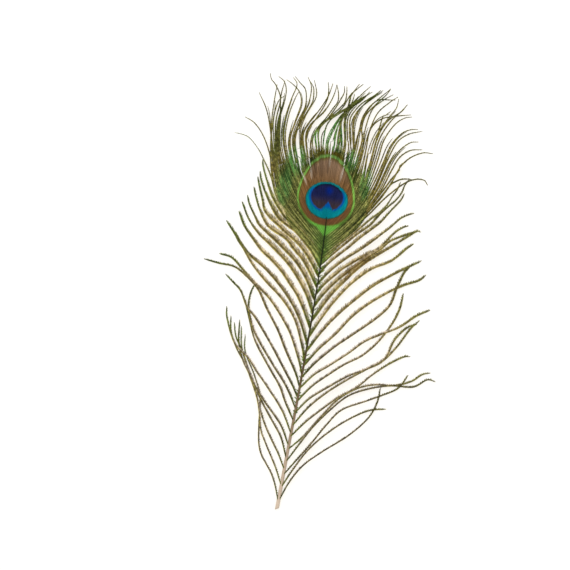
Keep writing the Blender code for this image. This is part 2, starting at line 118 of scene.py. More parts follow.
LEFT = (
    ((-0.2, 6), (-4, 17), (-8, 25), (-12.5, 31), (-17, 37), (-20, 45), (-22, 58), (-24.5, 77), (-31, 91),
     (-40, 106), (-42, 118)),
    ((0, 17.5), (-5, 28), (-9, 35), (-16, 46.5), (-20, 54), (-24, 69), (-30, 85), (-37, 97), (-43, 109),
     (-45.5, 123)),
    ((0.2, 29), (-5, 38.5), (-9, 44.5), (-17, 56.5), (-22, 66), (-28.5, 80), (-35, 92), (-42, 106),
     (-48, 115), (-51, 125)),
    ((0.3, 37), (-5, 50), (-11, 58.5), (-17, 66), (-23, 74), (-31, 86), (-38, 97), (-46, 107), (-52, 118),
     (-54, 129)),
    ((0.4, 46), (-6, 58), (-12, 65), (-19, 72), (-27, 81), (-35, 92), (-41, 101), (-45.5, 112),
     (-47.5, 127)),
    ((0.5, 55), (-6, 67), (-12, 75), (-18, 81.5), (-24, 88), (-30, 94), (-37, 102), (-48, 110.5),
     (-56, 126), (-58, 135)),
    ((0.7, 64), (-6, 75), (-12, 86), (-20, 96), (-31, 110), (-36, 118), (-40, 127), (-43, 134),
     (-46.5, 142)),
    ((0.9, 72.5), (-4, 81), (-10, 89.5), (-21, 102), (-34, 118), (-40, 129), (-43, 138), (-43, 147),
     (-41, 154)),
    ((1.1, 80), (-3, 87), (-13, 100.5), (-22, 112.5), (-31, 123.5), (-38, 131.5), (-44, 137), (-50, 147),
     (-56, 152), (-62.5, 157)),
    ((1.2, 88), (-3, 97), (-12, 111), (-20, 124.5), (-30, 138), (-38, 150), (-47, 157.5), (-57, 163),
     (-68, 163.7), (-79, 165)),
    ((1.3, 97), (-2, 106), (-10, 122), (-18, 133), (-29, 145), (-41, 154), (-51, 162), (-60, 169),
     (-69, 170.3)),
    ((1.4, 106), (-1, 115), (-9, 133), (-20, 146), (-34, 157), (-45, 167), (-54, 178), (-63, 188.5),
     (-68, 194)),
    ((1.7, 118), (-4, 130.5), (-12, 143), (-23, 155), (-35, 165), (-48, 173), (-56, 180), (-61, 186.5)),
    ((2.0, 129), (-1, 135), (-5, 142.5), (-11, 151.5), (-17, 158), (-24, 165.5), (-32, 172), (-40, 177.4),
     (-47, 184), (-55, 192.5), (-60.5, 202)),
    ((2.2, 139.5), (0, 144), (-4.1, 152), (-9.6, 159.7), (-16.7, 168), (-23.6, 174.3), (-30.7, 179.6),
     (-36, 183.4), (-45, 189.5), (-53, 198), (-59.5, 209)),
    ((2.2, 149), (0, 152.3), (-3.9, 159.7), (-9.6, 167.7), (-16.5, 174.9), (-24.5, 181), (-30.7, 185.5),
     (-39, 190.8), (-45, 195), (-48, 199), (-54, 208), (-56.5, 214)),
    ((2.2, 158), (0.2, 161), (-5, 168.8), (-10.7, 176), (-18.3, 182.5), (-24.8, 188.5), (-36.4, 194),
     (-41, 197.7), (-46, 205), (-50, 213), (-53, 220.5)),
    ((2.3, 165.3), (0, 168.6), (-4.8, 175.3), (-10.7, 182.1), (-17.6, 187.9), (-24.8, 192.2),
     (-31.9, 197.2), (-38.6, 201.7), (-43, 206), (-45.5, 212.5), (-49, 221), (-51.5, 228)),
    ((2.4, 171.3), (0, 175.3), (-4.8, 181.6), (-9.1, 186), (-18, 194), (-24.8, 197.7), (-32.6, 202.4),
     (-39, 210), (-45, 219), (-49, 227), (-50.5, 232)),
    ((2.2, 177.5), (-0.4, 180.6), (-3.9, 184.5), (-11, 191), (-18.8, 197.5), (-26.9, 202.7), (-31, 206.5),
     (-39, 216), (-45, 227), (-49, 236), (-50, 240.5)),
    ((2.2, 181.5), (-10, 192.5), (-26, 205), (-36, 216), (-42, 229), (-49, 240), (-55, 248), (-63, 254.5),
     (-73, 256)),
)
CROWN = (
    ((2.0, 183.5), (-13, 196), (-28, 209), (-38, 222), (-43, 238), (-47, 248), (-53, 258), (-60, 265),
     (-67, 268)),
    ((2.0, 185.5), (-13, 198), (-27, 211), (-37, 225), (-43, 242), (-48, 262), (-53, 275.5), (-60, 286.5)),
    ((1.9, 187.5), (-12, 199.5), (-26, 213), (-36, 228), (-43, 246), (-47.5, 263), (-48.5, 280),
     (-48.5, 294)),
    ((1.8, 189), (-12, 201.5), (-25, 215), (-35, 230), (-42, 250), (-45, 268), (-44.5, 284), (-49, 293),
     (-53, 297), (-54.5, 301)),
    ((1.7, 190.5), (-12, 203.5), (-24, 217), (-34, 233), (-41, 252), (-43, 268), (-41.5, 282), (-41.5, 291),
     (-44, 297), (-48.3, 299.7)),
    ((1.6, 192), (-12, 206), (-23, 220), (-33, 236), (-40, 254), (-42.5, 272), (-44.5, 286),
     (-43.5, 297.5)),
    ((1.5, 193.5), (-11, 207), (-22, 222), (-31, 238), (-38, 256), (-39, 271), (-37, 285), (-34.7, 296),
     (-38, 300.7)),
    ((1.5, 195), (-11, 209), (-21, 224), (-30, 240), (-36.5, 257), (-37, 273), (-34.5, 286),
     (-32.5, 291.8)),
    ((1.5, 196.5), (-10, 210), (-19, 225), (-28, 240), (-33.5, 256), (-32, 269), (-29.7, 283), (-32, 291),
     (-37, 295.5), (-42.5, 298.5)),
    ((1.4, 198), (-9, 211), (-18, 226), (-26, 241), (-31.5, 257), (-30, 270), (-26.5, 282), (-28, 293),
     (-33, 298), (-37, 301.7)),
    ((1.4, 199), (-8, 212), (-16, 227), (-24, 242), (-29.5, 258), (-28, 272), (-24.5, 285), (-24.5, 296),
     (-28, 302.8)),
    ((1.3, 200), (-7, 213), (-14, 227), (-21, 241), (-26, 255), (-27, 266), (-25, 276), (-22.5, 282.5),
     (-20.2, 289), (-20.5, 294), (-23.3, 301.3)),
    ((1.3, 201), (-6, 213), (-12, 227), (-18.5, 241), (-24, 256), (-25, 263), (-23, 269), (-19.5, 275),
     (-14.5, 285), (-11.5, 293), (-10, 301)),
    ((1.2, 202), (-5, 214), (-10, 228), (-16, 242), (-21, 256), (-22.3, 264.5), (-20, 271), (-16, 276),
     (-12.5, 281), (-9, 289.5), (-7.5, 296), (-7.2, 300.5)),
    ((1.2, 203), (-4, 215), (-9, 229), (-14, 242), (-18, 254), (-18.2, 260), (-17, 265), (-14.5, 270.5),
     (-11, 276), (-7, 284), (-4.6, 289), (-5, 294.5), (-7, 300.5)),
    ((1.1, 204), (-3, 216), (-6.5, 230), (-10, 243), (-13, 257), (-14.8, 266), (-13, 271), (-9.5, 275),
     (-6, 278.5), (-1, 283), (4, 287), (10, 293), (18.3, 299.7)),
    ((1.0, 204.5), (-1.5, 217), (-3.5, 231), (-5.5, 245), (-6.3, 258), (-5, 265), (-4, 269), (-2.2, 275),
     (0.7, 281), (4, 285.5), (8, 290), (12, 294.5), (16, 298)),
    ((1.0, 205), (0, 218), (-0.5, 232), (-1, 246), (-0.2, 257), (-0.5, 266), (0, 274), (1.5, 281), (3, 287),
     (3.5, 293), (5.5, 298), (8.4, 303.8)),
    ((1.0, 205), (2, 218), (2.5, 232), (3, 246), (3.6, 257), (2.2, 265), (0.8, 271), (0.2, 276), (1, 282),
     (3, 286.5), (7, 291), (12, 298), (16.3, 303.3)),
    ((1.2, 204), (4, 216), (6, 230), (8, 244), (11, 256), (10.8, 263), (9.6, 269), (9, 275), (9.8, 281),
     (12.3, 287.5), (17, 294), (25.5, 302)),
    ((1.4, 203), (6, 215), (9, 229), (11, 243), (13, 258), (13.5, 272), (16, 285), (22, 294), (29, 302),
     (30.5, 304)),
    ((1.5, 201.5), (7.5, 214), (12, 228), (15, 243), (17.5, 258), (17.5, 273), (20, 287), (26, 294.5),
     (33, 300.3)),
    ((1.6, 200), (8.5, 212), (13.5, 226), (17, 241), (19, 256), (20.2, 270), (24, 285), (31, 294),
     (36.5, 299.3)),
    ((1.7, 198), (10, 211), (16, 225), (19.5, 240), (20.3, 258), (21, 273), (27, 281.5), (37, 285.5),
     (47.5, 288.3)),
    ((1.8, 196), (11, 209), (18, 223), (22, 238), (23, 256), (26, 270), (32, 283), (36.5, 291),
     (37.3, 298)),
    ((1.8, 194), (12, 207.5), (19.5, 221), (24, 236), (26.5, 252), (28.5, 268), (34, 281), (40, 289),
     (44, 295)),
    ((1.8, 192), (12.5, 206), (20.5, 219), (26, 234), (29.5, 252), (31.5, 267), (37, 279), (43, 285),
     (48.5, 287)),
    ((1.9, 190), (13, 204), (22, 218), (28.5, 233), (33.5, 251), (37, 264.5), (43, 274), (49, 278),
     (54, 279)),
    ((1.9, 189), (14, 202.5), (24, 217), (31, 233), (36, 253), (41, 267.5), (48, 274.5), (57, 278.2)),
    ((1.9, 187.5), (14.5, 201), (25, 215.5), (33, 233), (38.5, 252), (43.5, 262), (50, 268.8),
     (55.7, 270.4)),
    ((1.9, 185.5), (15, 199), (26, 214), (35, 231.5), (40.5, 248), (44.5, 257.5), (51, 263.5), (59, 265.5)),
    ((2.0, 183.5), (15, 197), (26, 211.5), (36, 227), (42, 240), (46, 251), (52, 258.5), (60, 263.3),
     (67, 264)),
    ((2.1, 181.5), (14, 194), (24.9, 208.5), (30.7, 215.9), (37.6, 225.8), (43, 232.3), (51, 240.3),
     (58, 244.2), (64, 244.6), (67, 241.7)),
)
# Finer strands past the eye. Each starts inside the close part, where it joins its neighbours.
STRANDS = (
    ((-43, 236), (-45, 246), (-46.5, 256), (-47, 266), (-47, 274), (-45.5, 283), (-42, 287)),
    ((-28, 246), (-29, 262), (-27, 272), (-24, 280), (-22, 286), (-22, 291), (-23, 296), (-26, 300)),
    ((-26, 245), (-26.5, 254), (-26, 260), (-24, 267), (-21, 273.5), (-18, 279)),
    ((-20, 251), (-21.5, 259), (-21.5, 266), (-17.5, 275), (-14, 283), (-12, 290), (-12.2, 296),
     (-13.4, 301.3)),
    ((-16, 252), (-17.6, 259), (-17, 265), (-14, 270), (-10, 275.5), (-7, 281), (-4.5, 286.5), (-2.8, 291),
     (-1.2, 296), (-1.8, 300.5)),
    ((-14, 254), (-16, 261), (-16, 267), (-13.5, 271.5), (-9, 276.5), (-5.5, 281), (-2, 285.5), (0.5, 290),
     (0.6, 296), (0, 300.5)),
    ((-12, 255), (-14, 262), (-14, 268), (-11.5, 272.5), (-7.5, 277), (-3, 282), (0, 286.5), (1.5, 290.5),
     (4, 296), (6.5, 299), (11, 304)),
    ((-9.5, 256), (-10, 264), (-9.8, 270), (-7.5, 275.5), (-3, 280), (2, 284.5), (7, 289), (12, 294),
     (17, 298.7)),
    ((-7, 257), (-6.8, 262), (-5.4, 267), (-3.8, 272), (-2, 277), (0.5, 281.5), (5, 286), (11, 291.5),
     (14.5, 296)),
    ((-2.5, 258), (-2.7, 264), (-2, 270), (-0.8, 276), (1.5, 282), (4, 286.5), (5.5, 291), (6.2, 296)),
    ((1.2, 257), (1.2, 264), (0, 270), (-0.6, 276), (1, 282), (3, 286.5), (3.8, 291), (3.8, 296)),
    ((5, 256.5), (4.6, 263), (3.6, 270), (2.4, 276), (2.2, 281), (5, 286), (9, 290.5), (13, 294.5),
     (16.3, 299.5)),
    ((6.5, 256.5), (5.6, 262), (4.4, 267.5), (3.4, 273), (3, 278), (4.5, 284), (7.5, 288.5), (8.5, 294)),
    ((8, 256), (7, 262), (5.6, 268), (4.6, 273), (4.4, 279), (6, 284), (9, 288.5)),
    ((10, 256), (8.6, 262), (7.3, 267), (6.3, 273), (6, 279), (8, 284), (11.5, 289.5), (16, 294),
     (20, 297.5), (24, 302)),
    ((9, 245), (11.8, 256), (10.2, 264), (8.9, 271), (8.2, 277), (9.2, 282.5), (12, 287.5), (16.5, 292.5),
     (21, 297), (25, 300.5)),
    ((11, 240), (12, 250), (12.5, 262), (13.5, 272), (14, 279), (15.5, 284), (19, 290.5), (24, 295),
     (30, 296), (35, 296.7)),
    ((14, 243), (15.5, 255), (16.5, 265), (15, 273), (15.5, 280), (17.5, 285), (21, 290), (24, 294),
     (28, 299), (30.5, 303.5)),
    ((20, 228), (22.5, 238), (24, 248), (25.5, 258), (26.5, 266), (28.5, 274), (31, 279.5), (34, 283.5),
     (38, 287), (41, 290), (43.5, 294.5)),
    ((24, 240), (26, 262), (28, 282.5), (30, 285), (33, 288.3)),
    ((31, 222), (34, 227.5), (38, 235), (41, 241), (45, 247.5), (46, 252), (49, 255), (50, 257)),
    ((36, 228), (41, 237), (44, 240), (48, 242.5), (52, 243.5), (55, 243.7)),
)
print("barbs on the right, on the left and past the eye:", len(RIGHT), len(LEFT), len(CROWN) + len(STRANDS))

# %% [markdown]
# ## A smooth curve through a few points
#
# A barb bends without a corner anywhere. A Bezier curve object could carry it, but the barbules have to be
# placed along it one by one, so the curve is sampled as an array instead: a Catmull-Rom spline goes through
# every guide point, and it is then cut into steps of equal length.


# %% Sampling a guide
def smooth_path(points, count):
    """Between points b and c, with neighbours a and d, the curve is the cubic that leaves b towards c - a
    and reaches c towards d - b. Count places at equal steps of its length come back."""
    p = np.array(points, float)
    p = np.vstack([2 * p[0] - p[1], p, 2 * p[-1] - p[-2]])
    t = np.linspace(0, 1, 24, endpoint=False)[:, None]
    a, b, c, d = p[:-3, None], p[1:-2, None], p[2:-1, None], p[3:, None]
    fine = 0.5 * (2 * b + (c - a) * t + (2 * a - 5 * b + 4 * c - d) * t**2 + (3 * b - 3 * c + d - a) * t**3)
    fine = np.vstack([fine.reshape(-1, 2), p[-2]])
    run = np.concatenate([[0], np.cumsum(np.linalg.norm(np.diff(fine, axis=0), axis=1))])
    at = np.linspace(0, run[-1], count)
    return np.stack([np.interp(at, run, fine[:, k]) for k in range(2)], 1)


def lengths(paths):
    """Length of each path in an array of barbs by stations by coordinates."""
    return np.linalg.norm(np.diff(paths[..., :2], axis=1), axis=2).sum(1)


def shares(rows, count):
    """The share of the way at each station, from 0 to 1, once for each row."""
    return np.tile(np.linspace(0, 1, count), (rows, 1))


longest = lengths(np.array([smooth_path(guide, 200) for guide in RIGHT + LEFT])).max()
print("longest barb, mm:", round(float(longest), 1))

# %% [markdown]
# ## Meshes from arrays
#
# All pieces are handed to Blender the same way: an array of points, an array of triangles, and one number a
# point for each thing that the colours need. The UV map keeps a strip of the picture for each barb, so that
# the colours of thousands of barbules can be baked without overlap.


# %% Handing arrays to Blender
def add_piece(name, points, triangles, uv, smooth, **numbers):
    """Points are in the feather's own millimetres, and come to stand in the frame in metres."""
    mesh = bpy.data.meshes.new(name)
    placed = (points - np.array([*MIDDLE, 0.0])) * MM
    mesh.vertices.add(len(placed))
    mesh.vertices.foreach_set("co", placed.astype(np.float32).ravel())
    mesh.loops.add(triangles.size)
    mesh.loops.foreach_set("vertex_index", triangles.astype(np.int32).ravel())
    mesh.polygons.add(len(triangles))
    mesh.polygons.foreach_set("loop_start", np.arange(0, triangles.size, 3, dtype=np.int32))
    mesh.update(calc_edges=True)
    mesh.polygons.foreach_set("use_smooth", smooth)
    layer = mesh.uv_layers.new(name="OFBake")
    layer.data.foreach_set("uv", uv[triangles].astype(np.float32).ravel())
    for key, values in numbers.items():
        mesh.attributes.new(key, "FLOAT", "POINT").data.foreach_set("value", values.astype(np.float32))
    piece = bpy.data.objects.new(name, mesh)
    bpy.context.scene.collection.objects.link(piece)
    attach(piece, "root")
    print(f"{name}: {len(triangles)} triangles, {len(points)} points")
    return piece


def tube_faces(stations, around):
    """The wall between rings of points that follow each other: two triangles for each of its fields."""
    k, j = np.meshgrid(np.arange(stations - 1), np.arange(around), indexing="ij")
    a, b = around * k + j, around * k + (j + 1) % around
    return np.stack([a, a + around, b + around, a, b + around, b], 2).reshape(-1, 3)


# %% [markdown]
# ## One barb and its barbules
#
# A barb is a thin horny core, and from both edges of it grow flat barbules, slanted towards the tip like
# the needles of a fir twig. Hair particles would be quicker, but they don't leave Blender, and a flat
# ribbon with a picture on it looks like paper at the edges. So each barbule is a real leaf of six
# triangles: a root, a waist of three points with a slight ridge, and a tip. Where barbs lie close, the
# leaves of two neighbours mesh into one surface, as they do in the eye.

# %% The core of each barb
UP = np.array([0, 0, 1.0])


def frames_of(line):
    """Unit vectors along each path and to its right, level with the floor."""
    along = np.gradient(line, axis=1)
    along /= np.linalg.norm(along, axis=2, keepdims=True)
    right = np.stack([along[..., 1], -along[..., 0], np.zeros(along.shape[:2])], 2)
    return along, right / np.linalg.norm(right, axis=2, keepdims=True)


def core_mesh(line, half, thick, droop):
    """Four points round each station, right, top, left and bottom, half and thick away from the line. Half
    holds the left and the right side, which sink by droop times their distance, as a roof does. Rings are
    joined by triangles and both ends are closed."""
    barbs, stations = line.shape[:2]
    _, right = frames_of(line)
    to_left, to_right = (
        side * right * wide[..., None] - UP * droop * wide[..., None] for side, wide in zip((-1, 1), half)
    )
    low = thick + droop * half.mean(0) * 0.5
    top, bottom = line + UP * thick[..., None], line - UP * low[..., None]
    ring = np.stack([line + to_right, top, line + to_left, bottom], 2)
    last = 4 * (stations - 1)
    ends = [[0, 1, 2], [0, 2, 3], [last + 2, last + 1, last], [last + 3, last + 2, last]]
    one = np.vstack([tube_faces(stations, 4), ends])
    triangles = (one[None] + 4 * stations * np.arange(barbs)[:, None, None]).reshape(-1, 3)
    return ring, triangles


# %% The barbules of each barb
LEAF = np.array([[0, 1, 2], [0, 2, 3], [0, 3, 1], [4, 2, 1], [4, 3, 2], [4, 1, 3]])
WAIST = 0.6  # where along its length a barbule is widest
LOCK_TURN = 0.7  # how much the first and the last barbule of a lock lean towards each other, radians
LEAST_ANGLE = 0.3  # between a barbule and its barb, radians
ANGLE_SPREAD, LIFT_SPREAD = 0.07, 0.05  # how the barbules differ, radians and mm
LENGTH_SPREAD = (0.84, 1.1)
RIDGE, ARCH = 0.07, 0.12  # how high the ridge of a barbule and its waist stand, mm


def barbule_mesh(line, half, reach, slant, width, droop, saw, rng):
    """At each station and on each side a leaf grows at the slant angle from the barb's direction: its tip
    is the reach away sideways, its waist is at the share WAIST of the way, as wide as width on both sides,
    with a ridge on top. Saw runs from 0 to 1 within a lock, and turns its leaves so that their tips meet.
    Lengths, angles and heights vary a little."""
    along, right = frames_of(line)
    shape = (2, *line.shape[:2])
    side = np.array([-1.0, 1.0])[:, None, None]
    angle = slant + rng.normal(0, ANGLE_SPREAD, shape) + LOCK_TURN * (saw - 0.5)
    angle = np.maximum(angle, LEAST_ANGLE)
    far = reach * rng.uniform(*LENGTH_SPREAD, shape)
    out = along[None] * np.cos(angle)[..., None] + right[None] * (side * np.sin(angle))[..., None]
    across = np.stack([-out[..., 1], out[..., 0], np.zeros(shape)], 3)
    long = (far / np.sin(angle))[..., None]
    root = line[None] + right[None] * (side * np.minimum(half, 0.3) * 0.35)[..., None]
    lift = rng.normal(0, LIFT_SPREAD, shape)[..., None] * UP
    waist = root + out * long * WAIST + UP * (ARCH - WAIST * droop * far[..., None]) + lift * 0.6
    tip = root + out * long - UP * droop * far[..., None] + lift
    wide = across * (np.reshape(width, (-1, 1, 1)) * np.minimum(1, far / 0.5))[..., None]
    leaf = np.stack([root, waist - wide, waist + UP * RIDGE, waist + wide, tip], 3)
    count = np.prod(shape)
    triangles = (LEAF[None] + 5 * np.arange(count)[:, None, None]).reshape(-1, 3)
    return leaf, triangles


# %% A whole set of barbs as one piece
LOCK_SPECK = 0.6  # share of a barbule's own brightness that it has in common with its lock
LOW, LOW_FROM = 0.05, 0.3  # mm: what would sink below the upper height is bent to stay above the lower one


def barb_piece(name, line, half, reach, seed, dark_side, tint, locks, along=None, slant=0.75, width=0.2,
               droop=0.22, core_step=4, parted=None):
    """The core and the barbules of every barb in one mesh. Along runs from 0 to 1 from the root of each
    barb to its tip, or as given, across from 0 on its line to 1 at the tips of its barbules, core is 1 on
    the core only, and flank is 1 on the dark side, which is the right one where dark_side is 1 and the left
    one where it is -1. Tint is a number for each barb or for each of its stations, speck one for each
    barbule, mostly that of its lock. Locks holds the place in its lock and the lock's number for each
    station."""
    rng = np.random.default_rng(seed)
    barbs, stations = line.shape[:2]
    picked = np.unique(np.append(np.arange(0, stations, core_step), stations - 1))
    half = np.broadcast_to(half, (2, barbs, stations))
    thick = np.clip(half[:, :, picked].mean(0) * 0.2, 0.05, 0.08)
    ring, core_faces = core_mesh(line[:, picked], half[:, :, picked], thick, droop)
    saw, shade = locks
    leaf, leaf_faces = barbule_mesh(line, half, reach, slant, width, droop, saw, rng)
    common = LOCK_SPECK * shade * (1 - 0.5 * np.abs(2 * saw - 1) ** 3)
    speck = common + (1 - LOCK_SPECK) * rng.random(leaf.shape[:3])
    if parted is not None:
        ring = parted(ring, line[:, picked][:, :, None])
        leaf = parted(leaf, line[None, :, :, None])
    part = np.linspace(0, 1, stations)
    tint = tint.reshape(barbs, -1) + np.zeros((barbs, stations))
    along = shares(barbs, stations) if along is None else along
    row = np.arange(barbs)[:, None, None]
    ring_side = np.array([1.0, 0, -1, 0])
    side = np.array([-1.0, 1.0])[:, None, None, None]
    place = part[picked][None, :, None] + np.zeros(ring.shape[:3])
    out = np.array([0.0, WAIST, WAIST, WAIST, 1.0]) + np.zeros(leaf.shape[:4])
    sway = np.array([0, -0.45, 0, 0.45, 0]) / (stations - 1)
    leaf_place = part[None, None, :, None] * (1 - 1 / stations) + 0.5 / stations + sway + 0 * out
    core_uv = np.stack([place, (row + 0.14 + 0.11 * ring_side) / barbs + 0 * place], 3)
    leaf_uv = np.stack([leaf_place, (row + 0.64 + side * (0.02 + 0.32 * out)) / barbs], 4)
    points = np.vstack([ring.reshape(-1, 3), leaf.reshape(-1, 3)])
    sunk = np.minimum(points[:, 2], LOW_FROM) - LOW_FROM
    points[:, 2] = np.maximum(points[:, 2], LOW + (LOW_FROM - LOW) * np.exp(sunk / (LOW_FROM - LOW)))
    faces = np.vstack([core_faces, leaf_faces + 4 * barbs * len(picked)])

    def joined(on_cores, on_leaves):
        """One number for each point, first those of the cores and then those of the leaves."""
        return np.concatenate([np.ravel(on_cores + 0 * place), np.ravel(on_leaves + 0 * out)])

    return add_piece(
        name, points, faces, np.vstack([core_uv.reshape(-1, 2), leaf_uv.reshape(-1, 2)]),
        np.arange(len(faces)) < len(core_faces),
        along=joined(along[:, picked][..., None], along[None, :, :, None]),
        across=joined(0.6 * np.abs(ring_side), out),
        core=joined(1.0, 0.0),
        flank=joined(0.5 + 0.5 * ring_side * dark_side[:, None, None],
                     0.5 + 0.5 * side * dark_side[None, :, None, None]),
        tint=joined(tint[:, picked][..., None], tint[None, :, :, None]),
        speck=joined(0.5, speck[..., None]),
    )


# %% [markdown]
# ## How high a barb lies
#
# The feather lies on its back. Its shaft touches the floor at the cut end and rises a little towards the
# eye, and the barbs spring up from its sides before they sink to the floor at their tips. A simulation
# would only add noise to this, so the height is a formula: a fall from root to tip with an arch over it.
# Barbs that run through the eye stay nearly level there and arch past it.

# %% Heights along a barb, mm
ROOT_Z, TIP_Z = 1.9, 0.45
LOOSE_ARCH, EYE_ARCH, CROWN_ARCH = 3.2, 0.75, 2.4


def barb_height(share, root_y, lively):
    """Height = a fall from root to tip as share to the power 1.6, plus an arch that is a half sine wave of
    the share. For roots from 110 to 165 mm up the shaft the arch moves from the whole barb to its outer
    half."""
    near_eye = np.clip((root_y - 110) / 55, 0, 1)[:, None]
    lively = lively[:, None]
    arch = (LOOSE_ARCH + (EYE_ARCH - LOOSE_ARCH) * near_eye) * lively
    past = np.clip((share - 0.45) / 0.55, 0, 1)
    height = ROOT_Z + (TIP_Z - ROOT_Z) * share**1.6 + arch * np.sin(math.pi * share**0.8)
    return height + CROWN_ARCH * near_eye * lively * np.sin(math.pi * past**0.9) ** 1.3


def raised(flat, lively, offset):
    """Flat paths with their height put in, which the offset lifts or lowers between root and tip."""
    share = shares(*flat.shape[:2])
    z = barb_height(share, flat[:, 0, 1], lively) + offset[:, None] * np.sin(math.pi * share) ** 0.5
    return np.concatenate([flat, z[..., None]], 2)


low_barb = barb_height(shares(1, 50), np.array([50.0]), np.ones(1))
print("a loose barb rises to, mm:", round(float(low_barb.max()), 2))

# %% [markdown]
# ## Loose barbs on both sides
#
# Along the shaft the barbs stand apart and their barbules don't hook into each other. Low down they are
# thin, less than 2 mm wide, and towards the eye they are ribbons of 3.5 to 5 mm. The width is driven by
# where the barb leaves the shaft, and tapers to both of its ends.

# %% Build the loose barbs
STATIONS = 340
LOCK_PITCH, TEAR_PITCH = 1.3, 3.4  # from one lock of barbules to the next, and from one tear to the next, mm
DARK_SHARE, LIGHT_SHARE = 0.24, 0.76  # how much of a ribbon lies on each side of its dark line


def loose_width(root_y, share):
    """Width of a ribbon: 1.7 mm on the lowest barbs to 3.5 mm on the highest, slimmer by the shaft, full
    from 0.34 to 0.62 of its length, and narrowing to a fifth at the tip."""
    full = np.interp(root_y, [0, 60, 105, 135, 180], [1.7, 2.3, 2.8, 3.3, 3.5])[:, None]
    at = [0, 0.05, 0.14, 0.34, 0.62, 0.9, 0.97, 1]
    return full * np.interp(share, at, [0.45, 0.72, 0.9, 1, 1, 0.85, 0.7, 0.2])


def locks_along(distance, pitch, rng):
    """Barbules cling together in small locks. The phase is the distance over the pitch, which wanders a
    little. Its fraction is the place within a lock, and its whole part picks the lock's random number from
    a table."""
    start = rng.uniform(0, 9, (len(distance), 1))
    phase = distance / pitch + 0.7 * np.sin(distance * 0.35 + start) + start
    which = np.floor(phase).astype(int)
    table = rng.random((len(distance), which.max() + 2))
    return phase - which, np.take_along_axis(table, which + 1, axis=1)


def loose_barbs(name, guides, dark_side, seed, shift, broader, tips):
    """The guides follow the dark line of a ribbon, which is near its lower edge. Where a guide was read off
    it, shift moves it back, towards the right of its path if over 0. Broader scales the width of each barb,
    fully where its root is 135 mm up the shaft or more and not at all below 80 mm. Tips scales the outer
    part, fully from 0.82 of the length on."""
    rng = np.random.default_rng(seed)
    flat = np.array([smooth_path(guide, STATIONS) for guide in guides])
    share = shares(*flat.shape[:2])
    _, right = frames_of(np.concatenate([flat, 0 * flat[..., :1]], 2))
    fade = np.interp(share, [0, 0.2, 0.7, 1], [0, 1, 1, 0.3])[..., None]
    flat = flat + right[..., :2] * shift[:, None, None] * fade
    lively = rng.uniform(0.85, 1.15, len(flat))
    line = raised(flat, lively, rng.uniform(-0.1, 0.25, len(flat)))
    wider = (broader[:, None] - 1) * np.interp(flat[:, :1, 1], [80, 135], [0, 1])
    width = loose_width(flat[:, 0, 1], share) * (1 + wider)
    width = width * (1 + (tips[:, None] - 1) * np.interp(share, [0.58, 0.82], [0, 1]))
    distance = share * lengths(flat)[:, None]
    saw, shade = locks_along(distance, LOCK_PITCH, rng)
    tear, depth = locks_along(distance, TEAR_PITCH, rng)
    ragged = np.interp(share, [0, 0.2, 0.35, 0.7, 0.9], [0.1, 0.5, 1, 0.8, 0.1])
    torn = 0.22 * (1 - saw) + 0.1 * shade + 0.6 * (1 - tear) * depth
    sides = [
        (width * DARK_SHARE * (1 - ragged * 0.1 * shade), width * DARK_SHARE * 0.85, 0.23),
        (width * LIGHT_SHARE * (1 - ragged * torn), width * LIGHT_SHARE * (0.6 - 0.12 * ragged), 0.16),
    ]
    reach, half, broad = zip(*sides) if dark_side < 0 else zip(*sides[::-1])
    return barb_piece(name, line, np.stack(half), np.stack(reach), seed, np.full(len(flat), dark_side),
                      rng.random(len(flat)), (saw, shade), width=broad)


def by_barb(guides, places, values):
    """One number for each barb, given for a few of them, counted from the lowest one."""
    return np.interp(np.arange(len(guides)), places, values)


right_barbs = loose_barbs(
    "right_barbs", RIGHT, 1.0, 11, shift=by_barb(RIGHT, [8, 9, 11, 13, 14], [0.25, 0.7, 1.4, 1.1, 0]),
    broader=by_barb(RIGHT, [14, 17, 20], [1.4, 1.0, 0.7]),
    tips=by_barb(RIGHT, [10, 14], [0.95, 0.55]))
left_barbs = loose_barbs(
    "left_barbs", LEFT, -1.0, 12, shift=by_barb(LEFT, [6, 8], [-0.3, 0]),
    broader=by_barb(LEFT, [18, 19, 20], [1.5, 1.3, 0.5]),  # the last one is a lone thin barb
    tips=by_barb(LEFT, [8, 12, 14], [0.75, 0.75, 0.38]))

# %% [markdown]
# ## The fan of barbs that makes the eye
#
# The barbs of the eye leave the shaft one close above the other and run side by side round the coloured
# spot. Between the main ones lie finer ones. All of them are read from one surface: the main barbs are its
# ribs, u counts across them from left to right, and a strand in between is a mix of its two neighbours.

# %% The fan surface
FAN = LEFT[15:] + CROWN + RIGHT[:14:-1]
TIP = 399  # the last station of a rib, where its first one is 0
SHAFT_U = 23.2  # where the shaft runs in the fan
ribs = np.array([smooth_path(guide, TIP + 1) for guide in FAN])
print("ribs of the fan:", len(ribs))


def fan_path(u):
    """The path at places u across the fan: a mix of the rib on the left and the rib on the right of it."""
    u = np.atleast_1d(np.clip(u, 0, len(ribs) - 1))
    low = np.minimum(u.astype(int), len(ribs) - 2)
    mix = (u - low)[:, None, None]
    return ribs[low] * (1 - mix) + ribs[low + 1] * mix


def drifting(start, end, until):
    """Long strands between the ribs. Each starts at its place in the fan, and past 0.4 of its way it drifts
    towards the next barb, as if it clung to it. It stops at the share of the way that until gives."""
    share = np.linspace(0, 1, TIP + 1)[None] * until[:, None]
    ease = np.clip((share - 0.4) / 0.6, 0, 1) ** 1.5
    u = start[:, None] + (end - start)[:, None] * ease
    station = share * (TIP - 0.001)
    low_u, low_s = u.astype(int), station.astype(int)
    mu, ms = (u - low_u)[..., None], (station - low_s)[..., None]
    near = ribs[low_u, low_s] * (1 - ms) + ribs[low_u, low_s + 1] * ms
    far = ribs[low_u + 1, low_s] * (1 - ms) + ribs[low_u + 1, low_s + 1] * ms
    return near * (1 - mu) + far * mu


